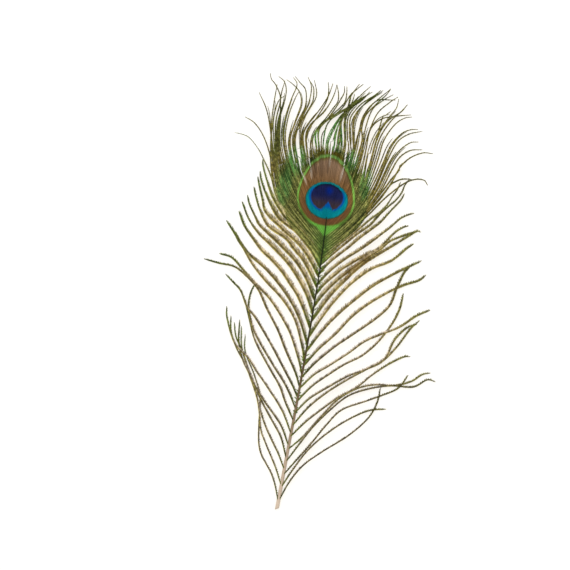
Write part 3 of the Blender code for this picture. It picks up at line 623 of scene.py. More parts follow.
def led_in(points):
    """A strand that starts inside the fan gets the way from the shaft to its first point: it is read from
    the fan at the place that comes closest to that point."""
    tries = np.arange(0, len(ribs) - 1, 0.1)
    grid = fan_path(tries)
    miss = np.linalg.norm(grid - np.array(points[0]), axis=2)
    which, where = np.unravel_index(miss.argmin(), miss.shape)
    lead = grid[which, (np.array([0, 0.2, 0.4, 0.6, 0.8]) * where).astype(int)]
    return tries[which], [tuple(p) for p in lead] + list(points)


# %% [markdown]
# ## The edge of the close part
#
# Up to a ragged edge the hooklets hold the barbs together. The edge is given as points round the eye and
# read as a distance for each direction from its middle, so any point can be asked whether it is inside.

# %% Where the barbs stop holding together
EYE_MIDDLE = np.array([-3.0, 222.0])
CLOSE_EDGE = np.array((
    (2, 174), (-5, 182), (-15, 191.5), (-25, 200.5), (-33, 211.5), (-37, 222), (-39.5, 232), (-39, 240),
    (-33, 242.5), (-28, 243), (-22, 244), (-17, 249), (-12, 255), (-6, 257), (0, 257.5), (5, 257), (10, 253),
    (15, 248), (20, 242), (24, 235), (28, 228), (28.5, 218), (26, 209), (22, 202), (17, 195.5), (10, 186.5),
    (5, 179),
), float)


def closeness(points):
    """Distance from the middle of the eye, as a share of the distance of the edge in that direction."""
    away = points - EYE_MIDDLE
    rim = CLOSE_EDGE - EYE_MIDDLE
    angle = np.arctan2(rim[:, 1], rim[:, 0])
    order = np.argsort(angle)
    far = np.linalg.norm(rim, axis=1)
    toward = np.arctan2(away[..., 1], away[..., 0])
    return np.linalg.norm(away, axis=-1) / np.interp(toward, angle[order], far[order], period=2 * math.pi)


print("size of the close part, mm:", np.ptp(CLOSE_EDGE, axis=0))

# %% [markdown]
# ## Partings
#
# In a few places the hooklets have let go, and a pale slit runs from the rim deep into the eye. A boolean
# cut would chop barbules in half. Instead, points near the line of the slit are moved away from it, towards
# the side on which their own barb lies, so that every barbule stays whole and the slit is open.

# %% Open the slits
PARTINGS = (  # x, y and how far each side opens there, mm
    ((-15.6, 227.4, 0), (-17.5, 230, 0), (-22, 236.5, 0.12), (-25, 246, 0.65), (-26.5, 251, 1.1),
     (-28, 259, 0.8), (-29, 268, 0)),
    ((-13.2, 231, 0), (-14.5, 236, 0), (-17.4, 245, 0.15), (-19.5, 253, 0.5), (-21, 259, 0.4),
     (-21, 266, 0)),
    ((6.5, 237, 0), (7.2, 243, 0.06), (7, 249, 0.3), (7, 252, 0.45), (6.7, 259, 0.4), (7, 266, 0)),
    ((-2.4, 245, 0), (-3, 249, 0.05), (-3.4, 252, 0.2), (-3.9, 258, 0.6), (-4.2, 263, 0.4), (-4.3, 270, 0)),
    ((-7.2, 250, 0), (-7.6, 253, 0.08), (-8.3, 256, 0.2), (-9, 262, 0.2), (-9, 268, 0)),
    ((10, 248, 0), (10, 251, 0.1), (9.8, 256, 0.2), (9.7, 264, 0)),
    ((17, 241, 0), (18, 245, 0.12), (19, 251, 0.35), (19.5, 258, 0.3), (20, 266, 0)),
    ((22.5, 237, 0), (22.9, 242, 0.15), (23, 250, 0.45), (23, 259, 0.4), (23.5, 266, 0)),
)
PULL = 3.5  # how far from a slit its barbs are pushed aside, mm


def parted(points, own):
    """Sideways distance from the line of each slit becomes slit + distance, fading back to the old value at
    the distance PULL. The side is that of the barb's own line, and a point past the line is kept at its
    edge."""
    points = points.copy()
    for slit in PARTINGS:
        x, y, wide = np.array(slit, float).T
        centre = np.interp(own[..., 1], y, x)
        side = np.sign(own[..., 0] - centre + 1e-9)
        opening = np.interp(own[..., 1], y, wide, left=0, right=0)
        apart = side * (points[..., 0] - np.interp(points[..., 1], y, x))
        fade = np.clip(1 - apart / PULL, 0, 1)
        moved = np.maximum(apart, 0.02) + opening * fade
        points[..., 0] += np.where((opening > 0) & (apart < PULL), side * (moved - apart), 0)
    return points


# %% [markdown]
# ## Which strands the fan gets
#
# Three kinds of strand run through the eye: the main barbs, the finer strands that are given by points of
# their own, and some in between that drift towards a neighbour. All of these go on past the edge. Where
# they leave too wide a gap inside the close part, shorter ones fill it and end at the edge.

# %% Choose the strands of the fan
FINE, COARSE = 1.0, 0.95  # greatest distance between two strands in the eye itself and beside it, mm
FIRST, LAST = 6, 38  # the ribs of the fan from here to here are barbs of the eye; the others are loose barbs
MID_FROM, MID_TO = 15, 28  # ribs over the middle of the eye, where the strands between them are closest
rng = np.random.default_rng(5)
led = [led_in(points) for points in STRANDS]
between = np.concatenate([np.arange(FIRST + 1, MID_FROM), np.arange(MID_TO, 36)]) + 0.5
between = between + rng.uniform(-0.15, 0.15, len(between))
between = np.concatenate([between, np.arange(MID_FROM, MID_TO, 0.5) + 0.27])
toward = np.floor(between) + np.where(rng.random(len(between)) < 0.5, 0.12, 0.88)
middle = (between > MID_FROM) & (between < MID_TO)
until = rng.uniform(0.72, 0.97, len(between)) - middle * rng.uniform(0.0, 0.25, len(between))
long_u = np.concatenate([np.arange(FIRST, LAST + 1.0), [u for u, _ in led], between])
led_paths = np.array([smooth_path(points, TIP + 1) for _, points in led])
long_paths = np.concatenate([ribs[FIRST:LAST + 1], led_paths, drifting(between, toward, until)])
slender = np.concatenate([np.ones(LAST + 1 - FIRST), np.full(len(led), 1.1), np.where(middle, 0.8, 0.75)])
taken = np.sort(np.concatenate([long_u, np.arange(FIRST), np.arange(LAST + 1, len(ribs))]))
wide = fan_path(taken)
wide = np.linalg.norm(np.diff(wide, axis=0), axis=2) * (closeness(wide[:-1]) < 1)
pitch = np.where(np.abs(taken[:-1] - 23) < 12, FINE, COARSE)
more = np.maximum(np.ceil(wide.max(1) / pitch), 1).astype(int)
fill_u = np.concatenate([a + (b - a) * np.arange(1, n) / n for a, b, n in zip(taken[:-1], taken[1:], more)])
fill_u = fill_u[(closeness(fan_path(fill_u)) < 1).sum(1) > 20]
fan_u = np.concatenate([long_u, fill_u])
print(len(long_u), "long strands and", len(fill_u), "that end at the edge of the close part")


# %% Gaps and ends of the strands
def gaps_of(u):
    """Distance from each strand to its neighbour on the left and on the right, at every station."""
    known = np.unique(np.round(np.concatenate([fan_u, taken]), 4))
    at = np.searchsorted(known, np.round(u, 4))
    mine = fan_path(u)
    both = [known[np.maximum(at - 1, 0)], known[np.minimum(at + 1, len(known) - 1)]]
    return np.stack([np.linalg.norm(fan_path(other) - mine, axis=2) for other in both])


def leaves_at(paths):
    """The station where each path crosses the edge of the close part for good."""
    within = closeness(paths) < 1
    last = paths.shape[1] - 1 - np.argmax(within[:, ::-1], axis=1)
    return np.where(within.any(1), last, 0)


def cut(values, start, end, count):
    """Each row of an array by rows by stations, read at count places from one station to another."""
    at = start[:, None] + (end - start)[:, None] * np.linspace(0, 1, count)[None]
    at = np.clip(at, 0, values.shape[1] - 1.001)
    low = at.astype(int)
    mix = (at - low).reshape(*at.shape, *[1] * (values.ndim - 2))
    rows = np.arange(len(values))[:, None]
    return values[rows, low] * (1 - mix) + values[rows, low + 1] * mix


FREE_AFTER = 12  # mm past the edge of the close part, from where a strand has all of its own height
paths = np.concatenate([long_paths, fan_path(fill_u)])
edge = leaves_at(paths).astype(float)
step = lengths(paths) / TIP
is_long = np.arange(len(paths)) < len(long_u)
lively = rng.uniform(0.6, 1.4, len(paths))
level = raised(paths, np.ones(len(paths)), rng.uniform(-0.05, 0.05, len(paths)))
wild = raised(paths, lively, rng.uniform(-0.1, 0.3, len(paths)))
free = np.clip((np.arange(TIP + 1)[None] - edge[:, None]) * step[:, None] / FREE_AFTER, 0, 1)[..., None]
lines = level * (1 - free) + wild * free
gap = gaps_of(fan_u)
wander = np.interp(fan_u, np.arange(45), rng.random(45))
turn = np.where(np.argsort(np.argsort(fan_u)) % 2 == 0, 0.3, -0.3)  # every second strand is lighter
strand_tint = np.clip(0.5 + turn + 0.35 * (rng.random(len(paths)) - 0.5) + 0.25 * (wander - 0.5), 0, 1)
strand_side = np.where(fan_u < SHAFT_U, -1.0, 1.0)
print("gap between strands at the eye, mm:", np.round(np.percentile(gap[:, :, 150], [5, 50, 95]), 2))


# %% [markdown]
# ## The eye itself
#
# Inside the edge a strand is as wide as the gap to its neighbours, so the surface is closed, and only the
# slits let the table show. It could be one sheet with a texture, but then its rim would be cut and not
# frayed. It is built in two halves, one on each side of the shaft, to keep each piece small enough.

# %% Build the eye in two halves
EYE_STATIONS = 96
REACH_OVER, CORE_OVER = 0.56, 0.54  # share of its gap that a barbule or a core covers, past its middle


def eye_half(name, chosen, seed):
    """Strands from the shaft to the edge of the close part, and a little past it where they end there. A
    barbule reaches a bit past the middle of its gap, and the core is as wide as the gap, so nothing shows
    through."""
    rng = np.random.default_rng(seed)
    extra = np.where(is_long, 3, rng.uniform(0.5, 5, len(paths))) / step
    top = np.abs(paths[np.arange(len(paths)), edge.astype(int), 0] + 3) < 11
    extra = np.where(~is_long & top, rng.uniform(-1.5, 1.5, len(paths)) / step, extra)
    last = np.minimum(edge + extra, TIP)[chosen]
    first = np.zeros(len(last))
    step_mm = step[chosen][:, None]
    share = np.linspace(0, 1, EYE_STATIONS)[None]
    line = cut(lines[chosen], first, last, EYE_STATIONS)
    apart = np.stack([cut(side[chosen], first, last, EYE_STATIONS) for side in gap])
    away = (last[:, None] * share - edge[chosen][:, None]) * step_mm
    opens = np.where((line[..., 0] < -12) & (line[..., 1] > 230), 1.0, 0.0)
    uneven = rng.uniform(-0.2, 0.2, len(last))[:, None]
    loose = np.clip(away / (7 + 3 * opens) + 0.8 + 0.1 * opens + uneven, 0, 1)
    fading = np.clip((last - edge[chosen])[:, None] * step_mm / 3 - away / 3 + 0.15, 0.15, 1)
    ending = np.where(is_long[chosen][:, None], 1, fading)
    reach = np.clip(apart * REACH_OVER, 0.2, 0.95) * np.interp(share, [0, 0.06], [0.5, 1]) * ending
    half = np.clip(apart * CORE_OVER, 0.12, 1.2) * (1 - loose) + 0.12 * np.minimum(1, ending)
    locks = np.full(line.shape[:2], 0.5), rng.random(line.shape[:2])
    along = last[:, None] * share / TIP
    by_shaft = np.interp(along, [0.06, 0.3], [1, 0])
    between_ribs = 1 - np.abs(2 * (fan_u[chosen] % 1) - 1)[:, None]
    tint = strand_tint[chosen][:, None] * (1 - by_shaft) + (0.2 + 0.75 * between_ribs) * by_shaft
    return barb_piece(name, line, half, reach, seed, strand_side[chosen], tint, locks, along=along,
                      width=0.17, droop=0.2, core_step=3, parted=parted)


in_eye = edge > 30
eye_left = eye_half("eye_left", in_eye & (fan_u < SHAFT_U), 21)
eye_right = eye_half("eye_right", in_eye & (fan_u >= SHAFT_U), 22)

# %% [markdown]
# ## The crown of free ends
#
# Past the eye the same strands go on as loose, wispy barbs that bend, cross and gather in small bundles.
# They are thinner than the barbs lower down, so they get narrow barbules and fade to a thread at the tip.

# %% Build the crown
CROWN_STATIONS = 150
CROWN_PITCH = 1.8  # from one lock of barbules to the next, mm
BUNDLE_X = -42  # some strands at the left of the crown cling together along this line, mm


def crown_half(name, chosen, seed):
    """The long strands past the edge of the close part. Each is a nearly solid ribbon of about 1 mm that
    narrows to a thread. It is wider at the sides of the crown, in the bundle on the left, and low down on
    the right."""
    rng = np.random.default_rng(seed)
    thin = slender[chosen][:, None]
    first = np.maximum(edge[chosen] - 1.5 / step[chosen], 0)
    line = cut(lines[chosen], first, np.full(len(first), float(TIP)), CROWN_STATIONS)
    share = shares(*line.shape[:2])
    x, y = line[..., 0], line[..., 1]
    outer = np.clip(np.abs(x[:, 0] + 2) / 30, 0, 1)[:, None]
    saw, shade = locks_along(share * lengths(line)[:, None], CROWN_PITCH, rng)
    reach = (0.42 + 0.06 * outer) * thin * np.interp(share, [0, 0.1, 0.5, 0.85, 1], [0.9, 1, 0.95, 0.8, 0.4])
    bundled = np.exp(-(((x - BUNDLE_X) / 3.5) ** 2)) * np.interp(y, [262, 284], [1, 0])
    at_right, low_down = np.interp(x, [18, 26], [0, 1]), np.interp(y, [255, 275], [1, 0])
    wider = 1 + 0.5 * bundled + 0.2 * at_right * low_down
    reach = reach * np.interp(x, [-20, -10], [0.9, 1]) * wider
    half = reach * 0.95
    reach = reach * (1 - 0.3 * saw * shade)
    along = (first[:, None] + (TIP - first[:, None]) * share) / TIP
    return barb_piece(name, line, half, reach, seed, strand_side[chosen], strand_tint[chosen], (saw, shade),
                      along=along, slant=0.55, width=0.18, parted=parted)


long_ones = np.flatnonzero(is_long)
crown_left = crown_half("crown_left", long_ones[fan_u[long_ones] < SHAFT_U], 31)
crown_right = crown_half("crown_right", long_ones[fan_u[long_ones] >= SHAFT_U], 32)

# %% [markdown]
# ## Tufts along the shaft
#
# Between the roots of the loose barbs the shaft carries short green after-growth, only a few millimetres
# long. These are small barbs of the same kind, on both sides.

# %% Build the tufts
TUFT_STATIONS = 14
TUFTS_FROM, TUFTS_TO = 62, 190  # mm up the shaft
shaft_path = smooth_path(SHAFT_LINE, TIP + 1)


def build_tufts(count, seed):
    """Threads of 1.8 to 3.6 mm, half as long at the lower end, that leave the shaft at 0.35 to 0.8 radians
    and bend outwards by 0.4 more."""
    rng = np.random.default_rng(seed)
    y = np.sort(rng.uniform(TUFTS_FROM, TUFTS_TO, count))
    side = np.where(np.arange(count) % 2 == 0, -1.0, 1.0)
    x = np.interp(y, shaft_path[:, 1], shaft_path[:, 0]) + side * 0.5
    long = rng.uniform(1.8, 3.6, count) * np.interp(y, [TUFTS_FROM, 110, TUFTS_TO], [0.5, 1, 1.1])
    share = np.linspace(0, 1, TUFT_STATIONS)[None]
    turn = rng.uniform(0.35, 0.8, count)[:, None] + 0.4 * share
    one_step = long[:, None] / (TUFT_STATIONS - 1)
    z = 1.7 + rng.uniform(-0.4, 0.7, count)[:, None] + 0.5 * np.sin(math.pi * share)
    line = np.stack([x[:, None] + side[:, None] * np.cumsum(np.sin(turn) * one_step, 1),
                     y[:, None] + np.cumsum(np.cos(turn) * one_step, 1), z], 2)
    reach = np.interp(share, [0, 0.3, 1], [0.2, 0.42, 0.15]) + 0 * x[:, None]
    locks = locks_along(long[:, None] * share, 1.5, rng)
    return barb_piece("tufts", line, reach * 0.8, reach, seed, side, rng.random(count), locks, width=0.13)


tufts = build_tufts(64, 41)

# %% [markdown]
# ## The shaft
#
# The shaft is a horny rod, rounded above, flat below with a groove, and thinner towards the eye. It is one
# profile carried along the curved line and shrunk on the way. It lies on the floor at the cut end and
# climbs over the roots of the barbs further up, so that it stays in view. The cut end is slanted, as
# scissors leave it, and closed.

# %% Build the shaft
ROUND = 20  # points round the profile
SHAFT_STATIONS = 90
CUT_WIDTH, END_WIDTH = 2.8, 0.6
CUT_HEIGHT, END_HEIGHT = 2.6, 0.8
SLANT = 1.6  # how much further back the cut end is on one side, mm


def build_shaft():
    """At each station the profile is a half oval above a flat underside: sideways half the cosine of an
    angle, upwards 0.42 + 0.58 sine above and 0.42 + 0.42 sine below, halved where it is lowest, with a
    groove in the middle of the underside. Its height off the floor grows from 0 at 60 mm up the shaft to
    1.7 mm at the end."""
    path = smooth_path(SHAFT_LINE, SHAFT_STATIONS)
    _, right = frames_of(np.concatenate([path, np.zeros((SHAFT_STATIONS, 1))], 1)[None])
    share = np.linspace(0, 1, SHAFT_STATIONS)[:, None]
    width = CUT_WIDTH + (END_WIDTH - CUT_WIDTH) * share**0.85
    height = CUT_HEIGHT + (END_HEIGHT - CUT_HEIGHT) * share**0.9
    lift = np.interp(path[:, 1:], [60, 110, 150, 208], [0, 0.8, 1.25, 1.7])
    angle = np.linspace(0, 2 * math.pi, ROUND, endpoint=False)[None]
    sine = np.sin(angle)
    across = 0.5 * np.cos(angle) * (1 - 0.12 * (sine < 0))
    up = np.where(sine >= 0, 0.42 + 0.58 * np.abs(sine) ** 0.9, 0.42 + 0.42 * sine)
    up = np.where(sine < -0.3, np.maximum(up * 0.5, 0) + 0.16 * np.exp(-(across / 0.13) ** 2), up)
    ring = np.stack([
        path[:, :1] + right[0][:, :1] * across * width,
        path[:, 1:] + right[0][:, 1:2] * across * width,
        lift + np.maximum(up, 0) * height,
    ], 2)
    ring[:3, :, 1] += (np.array([[1.0], [0.5], [0.2]]) * (0.5 + across) * SLANT)
    flat = ring.reshape(-1, 3)
    wall = tube_faces(SHAFT_STATIONS, ROUND)
    points = np.vstack([flat, ring[0].mean(0), ring[-1].mean(0)])
    j = np.arange(ROUND)
    last = ROUND * (SHAFT_STATIONS - 1)
    base = np.stack([np.full(ROUND, len(flat)), j, (j + 1) % ROUND], 1)
    point = np.stack([np.full(ROUND, len(flat) + 1), last + (j + 1) % ROUND, last + j], 1)
    faces = np.vstack([wall, base, point])
    turn = np.append(np.tile(angle[0] / (2 * math.pi), SHAFT_STATIONS), [0.5, 0.5])
    along = np.append(np.repeat(np.linspace(0, 1, SHAFT_STATIONS), ROUND), [0, 1])
    uv = np.stack([along * 0.96 + 0.02, turn * 0.9 + 0.04], 1)
    pith = np.append(np.zeros(len(flat)), [1, 1])
    return add_piece("shaft", points, faces, uv, np.arange(len(faces)) < len(wall), along=along, pith=pith)


shaft = build_shaft()
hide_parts("feather")

# %% [markdown]
# ## Tools for materials
#
# Every finish is a node tree. A few small helpers keep the recipes readable: a Value stands for what a
# socket gives out and can be added and multiplied in a formula, a ramp goes smoothly from 0 to 1 between
# two values, and layers of colour go over each other, each with its own share.

# %% Node helpers
BRIGHT = 1.25  # the table is lit this much brighter than pure white needs, so that faint shadows burn out


def srgb(red, green, blue):
    """The linear colour that a shader needs for a screen colour from 0 to 255 under these lights."""
    c = np.array([red, green, blue]) / 255
    return (*(np.where(c <= 0.04045, c / 12.92, ((c + 0.055) / 1.055) ** 2.4) / BRIGHT).tolist(), 1.0)


class Value:
    """What a socket of a node gives out. Each sign in a formula with it becomes a Math node."""

    def __init__(self, tree, socket):
        self.tree, self.socket = tree, socket

    def __add__(self, other):
        return calc("ADD", self, other)

    def __sub__(self, other):
        return calc("SUBTRACT", self, other)

    def __rsub__(self, other):
        return calc("SUBTRACT", other, self)

    def __mul__(self, other):
        return calc("MULTIPLY", self, other)

    def __truediv__(self, other):
        return calc("DIVIDE", self, other)


def put(socket, value):
    """A Value is linked to the socket, and anything else is set as its constant."""
    if isinstance(value, Value):
        value.tree.links.new(value.socket, socket)
    else:
        socket.default_value = value


def node(kind, inputs, output=0, **settings):
    """The output of a new node, in the tree of the first Value among its inputs."""
    tree = next(value.tree for value in inputs.values() if isinstance(value, Value))
    made = tree.nodes.new("ShaderNode" + kind)
    for key, value in settings.items():
        setattr(made, key, value)
    for key, value in inputs.items():
        put(made.inputs[key], value)
    return Value(tree, made.outputs[output])


def calc(operation, *values, clamp=False):
    """A Math node with this operation on the values."""
    return node("Math", dict(enumerate(values)), operation=operation, use_clamp=clamp)


def ramp(value, start, end):
    """0 below start, 1 above end, smooth in between. Start may be the larger one, which turns it round."""
    return node("MapRange", {0: value, 1: start, 2: end}, interpolation_type="SMOOTHSTEP")


def mixed(share, low, high, how="MIX"):
    """The low colour where the share is 0, the high one where it is 1."""
    return node("Mix", {0: share, 6: low, 7: high}, 2, data_type="RGBA", blend_type=how)


def layered(colour, *layers):
    """Each layer is a share and a colour, and goes over what came before it."""
    for share, over in layers:
        colour = mixed(share, colour, over)
    return colour


def shaded(colour, brightness):
    """The colour times a brightness."""
    return mixed(1.0, colour, brightness, "MULTIPLY")


def numbers(tree, *names):
    """The numbers that the mesh carries at each point."""
    for name in names:
        made = tree.nodes.new("ShaderNodeAttribute")
        made.attribute_name = name
        yield Value(tree, made.outputs["Fac"])


def group(name, inputs, outputs):
    """A node group. Inputs are names with their defaults, where None stands for a colour, outputs are names
    with their kinds."""
    tree = bpy.data.node_groups.new(name, "ShaderNodeTree")
    for label, default in inputs.items():
        kind = "NodeSocketColor" if default is None else "NodeSocketFloat"
        made = tree.interface.new_socket(label, in_out="INPUT", socket_type=kind)
        if default is not None:
            made.default_value = default
    for label, kind in outputs.items():
        tree.interface.new_socket(label, in_out="OUTPUT", socket_type="NodeSocket" + kind)
    given = {socket.name: Value(tree, socket) for socket in tree.nodes.new("NodeGroupInput").outputs}
    return tree, given, tree.nodes.new("NodeGroupOutput").inputs


def placed(tree, made_group, **values):
    """A group put into a tree, with its inputs by name and its outputs as Values by name."""
    made = tree.nodes.new("ShaderNodeGroup")
    made.node_tree = made_group
    for key, value in values.items():
        put(made.inputs[key.replace("_", " ")], value)
    return {socket.name: Value(tree, socket) for socket in made.outputs}


# %% [markdown]
# ## The tone of a barb
#
# Seen from above, a loose barb isn't one colour. The barbules on its lower side lie flat and look dark
# bronze with a yellow green rim. Those on its upper side are turned and catch the light, so they look pale
# and frayed: that paleness is painted light. A painted shade darkens the core under the barbules. Both
# fade into dark green by the shaft and into olive green at the tip. The group mixes these by the numbers
# of the mesh.

# %% Group: barb tone
tone_tree, given, tone_out = group(
    "barb tone",
    {"Root": None, "Dark": None, "Light": None, "Tip": None, "Rim": None, "Light from": 0.2, "Light to": 0.8,
     "Contrast": 0.8, "Green": 0.0, "Deep": 0.0, "Fray": 0.15, "Strand": 0.0, "Inner": 0.14, "Base": -0.5},
    {"Color": "Color"},
)
along, across, flank, tint, speck, core = numbers(
    tone_tree, "along", "across", "flank", "tint", "speck", "core")
other = calc("FRACT", tint * 7.13)  # a second random number for each barb
rises = ramp(along, given["Light from"] - 0.12, given["Light from"])
falls = ramp(along, given["Light to"] + 0.16, given["Light to"])
fray_and_core_shade = ramp(other * 0.3 + speck * 0.7, given["Fray"], given["Fray"] + 0.35) * 0.6 + 0.4
# painted shade: Base darkens the core, which lies under the barbules
fray_and_core_shade = fray_and_core_shade * (core * given["Base"] + 1.0)
outer = ramp(across, given["Inner"], given["Inner"] + 0.16)
lit = calc("MAXIMUM", ramp(flank, 0.75, 0.3) * outer, given["Strand"] * ramp(tint, 0.6, 0.85))
# painted light: the upper flank, turned to the light, is mixed towards the pale Light colour
pale = rises * falls * (lit * fray_and_core_shade)
body = layered(
    given["Dark"],
    (ramp(along, 0.2, 0.05), given["Root"]),
    (pale * given["Contrast"], given["Light"]),
    (ramp(across, 0.4, 0.6) * (ramp(flank, 0.6, 0.9) * 0.85), given["Rim"]),
    (ramp(along, 0.66, 0.98), given["Tip"]),
    (given["Green"] * ramp(speck * 0.3 + other, 0.1, 0.5), srgb(84, 148, 76)),
    (given["Deep"] * 0.65, srgb(80, 94, 42)),
)
# painted shade: a dark line along the middle of each core, where it lies under the barbules
painted_core_shade = core * ramp(across, 0.2, 0.04)
bright = (tint * 0.4 + (speck * 0.8 + 0.42)) * (painted_core_shade * -0.5 + 1.0)
put(tone_out["Color"], shaded(body, bright))
print("nodes in the barb tone:", len(tone_tree.nodes))

# %% [markdown]
# ## Loose barbs: olive, bronze and green
#
# The finish is satin: dark keratin that catches only a little light. Roughness stays in the middle, the
# specular level is low because the barbules break up the sky's reflection, and a fine noise as bump
# roughens each of them.

# %% Groups: mottle and grain
def in_object(tree):
    """The place on the piece, in metres."""
    return Value(tree, tree.nodes.new("ShaderNodeTexCoord").outputs["Object"])


def spots(scale):
    """Noise in object space, scale in spots per metre."""
    return node("TexNoise", {"Vector": in_object(scale.tree), "Scale": scale, "Detail": 1.0}, "Fac")


GRAIN_HEIGHT = 0.00005  # m
mottle_tree, given, mottle_out = group(
    "mottle", {"Scale": 450.0, "Darkest": 0.6, "More": 0.75}, {"Brightness": "Float"})
put(mottle_out["Brightness"], ramp(spots(given["Scale"]), 0.35, 0.65) * given["More"] + given["Darkest"])
grain_tree, given, grain_out = group(
    "grain", {"Scale": 6000.0, "Strength": 0.3}, {"Noise": "Float", "Normal": "Vector"})
noise = spots(given["Scale"])
bump = node("Bump", {"Height": noise, "Strength": given["Strength"], "Distance": GRAIN_HEIGHT}, "Normal")
put(grain_out["Noise"], noise)
put(grain_out["Normal"], bump)
print("groups so far:", [tree.name for tree in bpy.data.node_groups])


# %% Tools for the barbs' finishes
GRAIN, GRAIN_STRENGTH = 6000, 0.3  # grains per metre, and how strongly they show


def new_material(name, rough, specular):
    """A material with its node tree and the inputs of its Principled BSDF."""
    made = bpy.data.materials.new(name)
    made.use_nodes = True
    shader = made.node_tree.nodes["Principled BSDF"].inputs
    shader["Roughness"].default_value = rough
    shader["Specular IOR Level"].default_value = specular
    return made, made.node_tree, shader


def mottled(tree, colour, scale, darkest, more):
    """The colour times a brightness that goes up from the darkest by more, from spot to spot."""
    made = placed(tree, mottle_tree, Scale=scale, Darkest=darkest, More=more)
    return shaded(colour, made["Brightness"])


def grained(tree, shader, scale=GRAIN, strength=GRAIN_STRENGTH):
    """The grain's normal goes to the finish, and its noise comes back."""
    made = placed(tree, grain_tree, Scale=scale, Strength=strength)
    put(shader["Normal"], made["Normal"])
    return made["Noise"]


def millimetres(tree):
    """The place on the feather in its own millimetres, across and along."""
    own = {"Vector": in_object(tree), "Location": (*MIDDLE, 0), "Scale": (1 / MM,) * 3}
    in_mm = node("Mapping", own, "Vector")
    return node("SeparateXYZ", {"Vector": in_mm}, "X"), node("SeparateXYZ", {"Vector": in_mm}, "Y")


# %% [markdown]
# ## Eggs as a measure of place
#
# Every coloured zone on the feather has the outline of an egg, from the rings of the eye to the patches of
# green beside it. A painted picture would tie the zones to pixels. So one group measures how far a place is
# from the middle of an egg, as a share of the egg's own size in that direction: 1 is its outline, and a
# ramp round 1 is a soft edge.

# %% Group: distance from an egg
egg_tree, given, egg_out = group(
    "egg distance",
    {"X": 0.0, "Y": 0.0, "Middle X": 0.0, "Middle Y": 0.0, "Half width": 1.0, "Above": 1.0, "Below": 1.0,
     "Lean": 0.0, "Taper": 0.0},
    {"Distance": "Float"},
)
dy = given["Y"] - given["Middle Y"]
dx = given["X"] - given["Middle X"] - dy * given["Lean"]
high = calc("GREATER_THAN", dy, 0.0)
tall = high * given["Above"] + (1.0 - high) * given["Below"]
narrower = given["Taper"] * calc("MAXIMUM", dy / given["Above"], 0.0)
wide = dx / (given["Half width"] * (1.0 - narrower))
put(egg_out["Distance"], calc("SQRT", wide * wide + (dy / tall) * (dy / tall)))


def egg(x, y, middle_x, middle_y, half_width, above, below, lean=0.0, taper=0.0):
    """Distance from the middle of an egg, as a share of its own size in that direction."""
    return placed(x.tree, egg_tree, X=x, Y=y, Middle_X=middle_x, Middle_Y=middle_y, Half_width=half_width,
                  Above=above, Below=below, Lean=lean, Taper=taper)["Distance"]


print("groups so far:", [tree.name for tree in bpy.data.node_groups])

# %% [markdown]
# ## Patches and finishes outside the eye
#
# Fresh green shows on some barbs beside the eye and in the crown, brown on a few ribbons at the middle
# right. These patches are groups of eggs, so that more than one finish can use them. The ribbons grow
# browner and then greener on the way up the feather, which the finish reads from the place along the shaft.

# %% Materials of the barbs outside the eye
# Each patch is an egg: middle x, middle y, half width, height above the middle and below it, mm.
LEAF_GREEN = ((-2.5, 264, 9, 18, 14), (-27, 246, 8, 10, 16), (-32, 222, 6, 16, 14), (24, 236, 5, 14, 14),
              (12, 250, 5, 9, 9), (-13, 262, 6, 8, 8))
BRONZE = ((21, 171, 4, 6, 6), (26, 177, 4, 6, 6), (32, 183, 4.5, 6, 6))
DARK_GREEN = ((-42, 262, 6, 26, 26), (-12, 273, 7, 7, 7), (0, 282, 9, 7, 6), (10, 290, 10, 7, 6),
              (22, 297, 10, 6, 6))


def patch_group(name, places):
    """A group that gives 1 inside the eggs at the given places and 0 away from them."""
    tree, given, out = group(name, {"X": 0.0, "Y": 0.0}, {"Share": "Float"})
    total = 0.0
    for place in places:
        total = calc("ADD", total, ramp(egg(given["X"], given["Y"], *place), 1.1, 0.5), clamp=True)
    put(out["Share"], total)
    return tree


def patched(patch, x, y):
    """The share of a patch at this place."""
    return placed(x.tree, patch, X=x, Y=y)["Share"]


leaf_green = patch_group("leaf green patches", LEAF_GREEN)
brown_patch = patch_group("bronze patches", BRONZE)
dark_green = patch_group("dark green patches", DARK_GREEN)


def barb_material(name, crown=False, **values):
    """The tone group with the given colours. Without a given contrast, the dark and the pale side of a
    ribbon change on the way up the feather."""
    made, tree, shader = new_material(name, 0.55, 0.04)
    x, y = millimetres(tree)
    if crown:
        values["Green"] = patched(leaf_green, x, y) * 0.75
        values["Deep"] = patched(dark_green, x, y)
    if "Contrast" not in values:
        brown = patched(brown_patch, x, y) * 0.55, srgb(92, 66, 24)
        by_eye = ramp(y, 195, 220)
        values["Contrast"] = ramp(y, 60, 125) * 0.45 + 0.35
        values["Dark"] = layered(
            values["Dark"], (ramp(y, 90, 160), srgb(132, 116, 66)), (by_eye, srgb(100, 102, 46)), brown)
        values["Light"] = layered(
            values["Light"], (ramp(y, 120, 175), srgb(206, 188, 150)), (by_eye, srgb(172, 166, 112)), brown)
        values["Rim"] = layered(values["Rim"], brown)
    tone = placed(tree, tone_tree, **values)["Color"]
    put(shader["Base Color"], mottled(tree, tone, scale=450, darkest=0.6, more=0.75))
    grained(tree, shader)
    return made


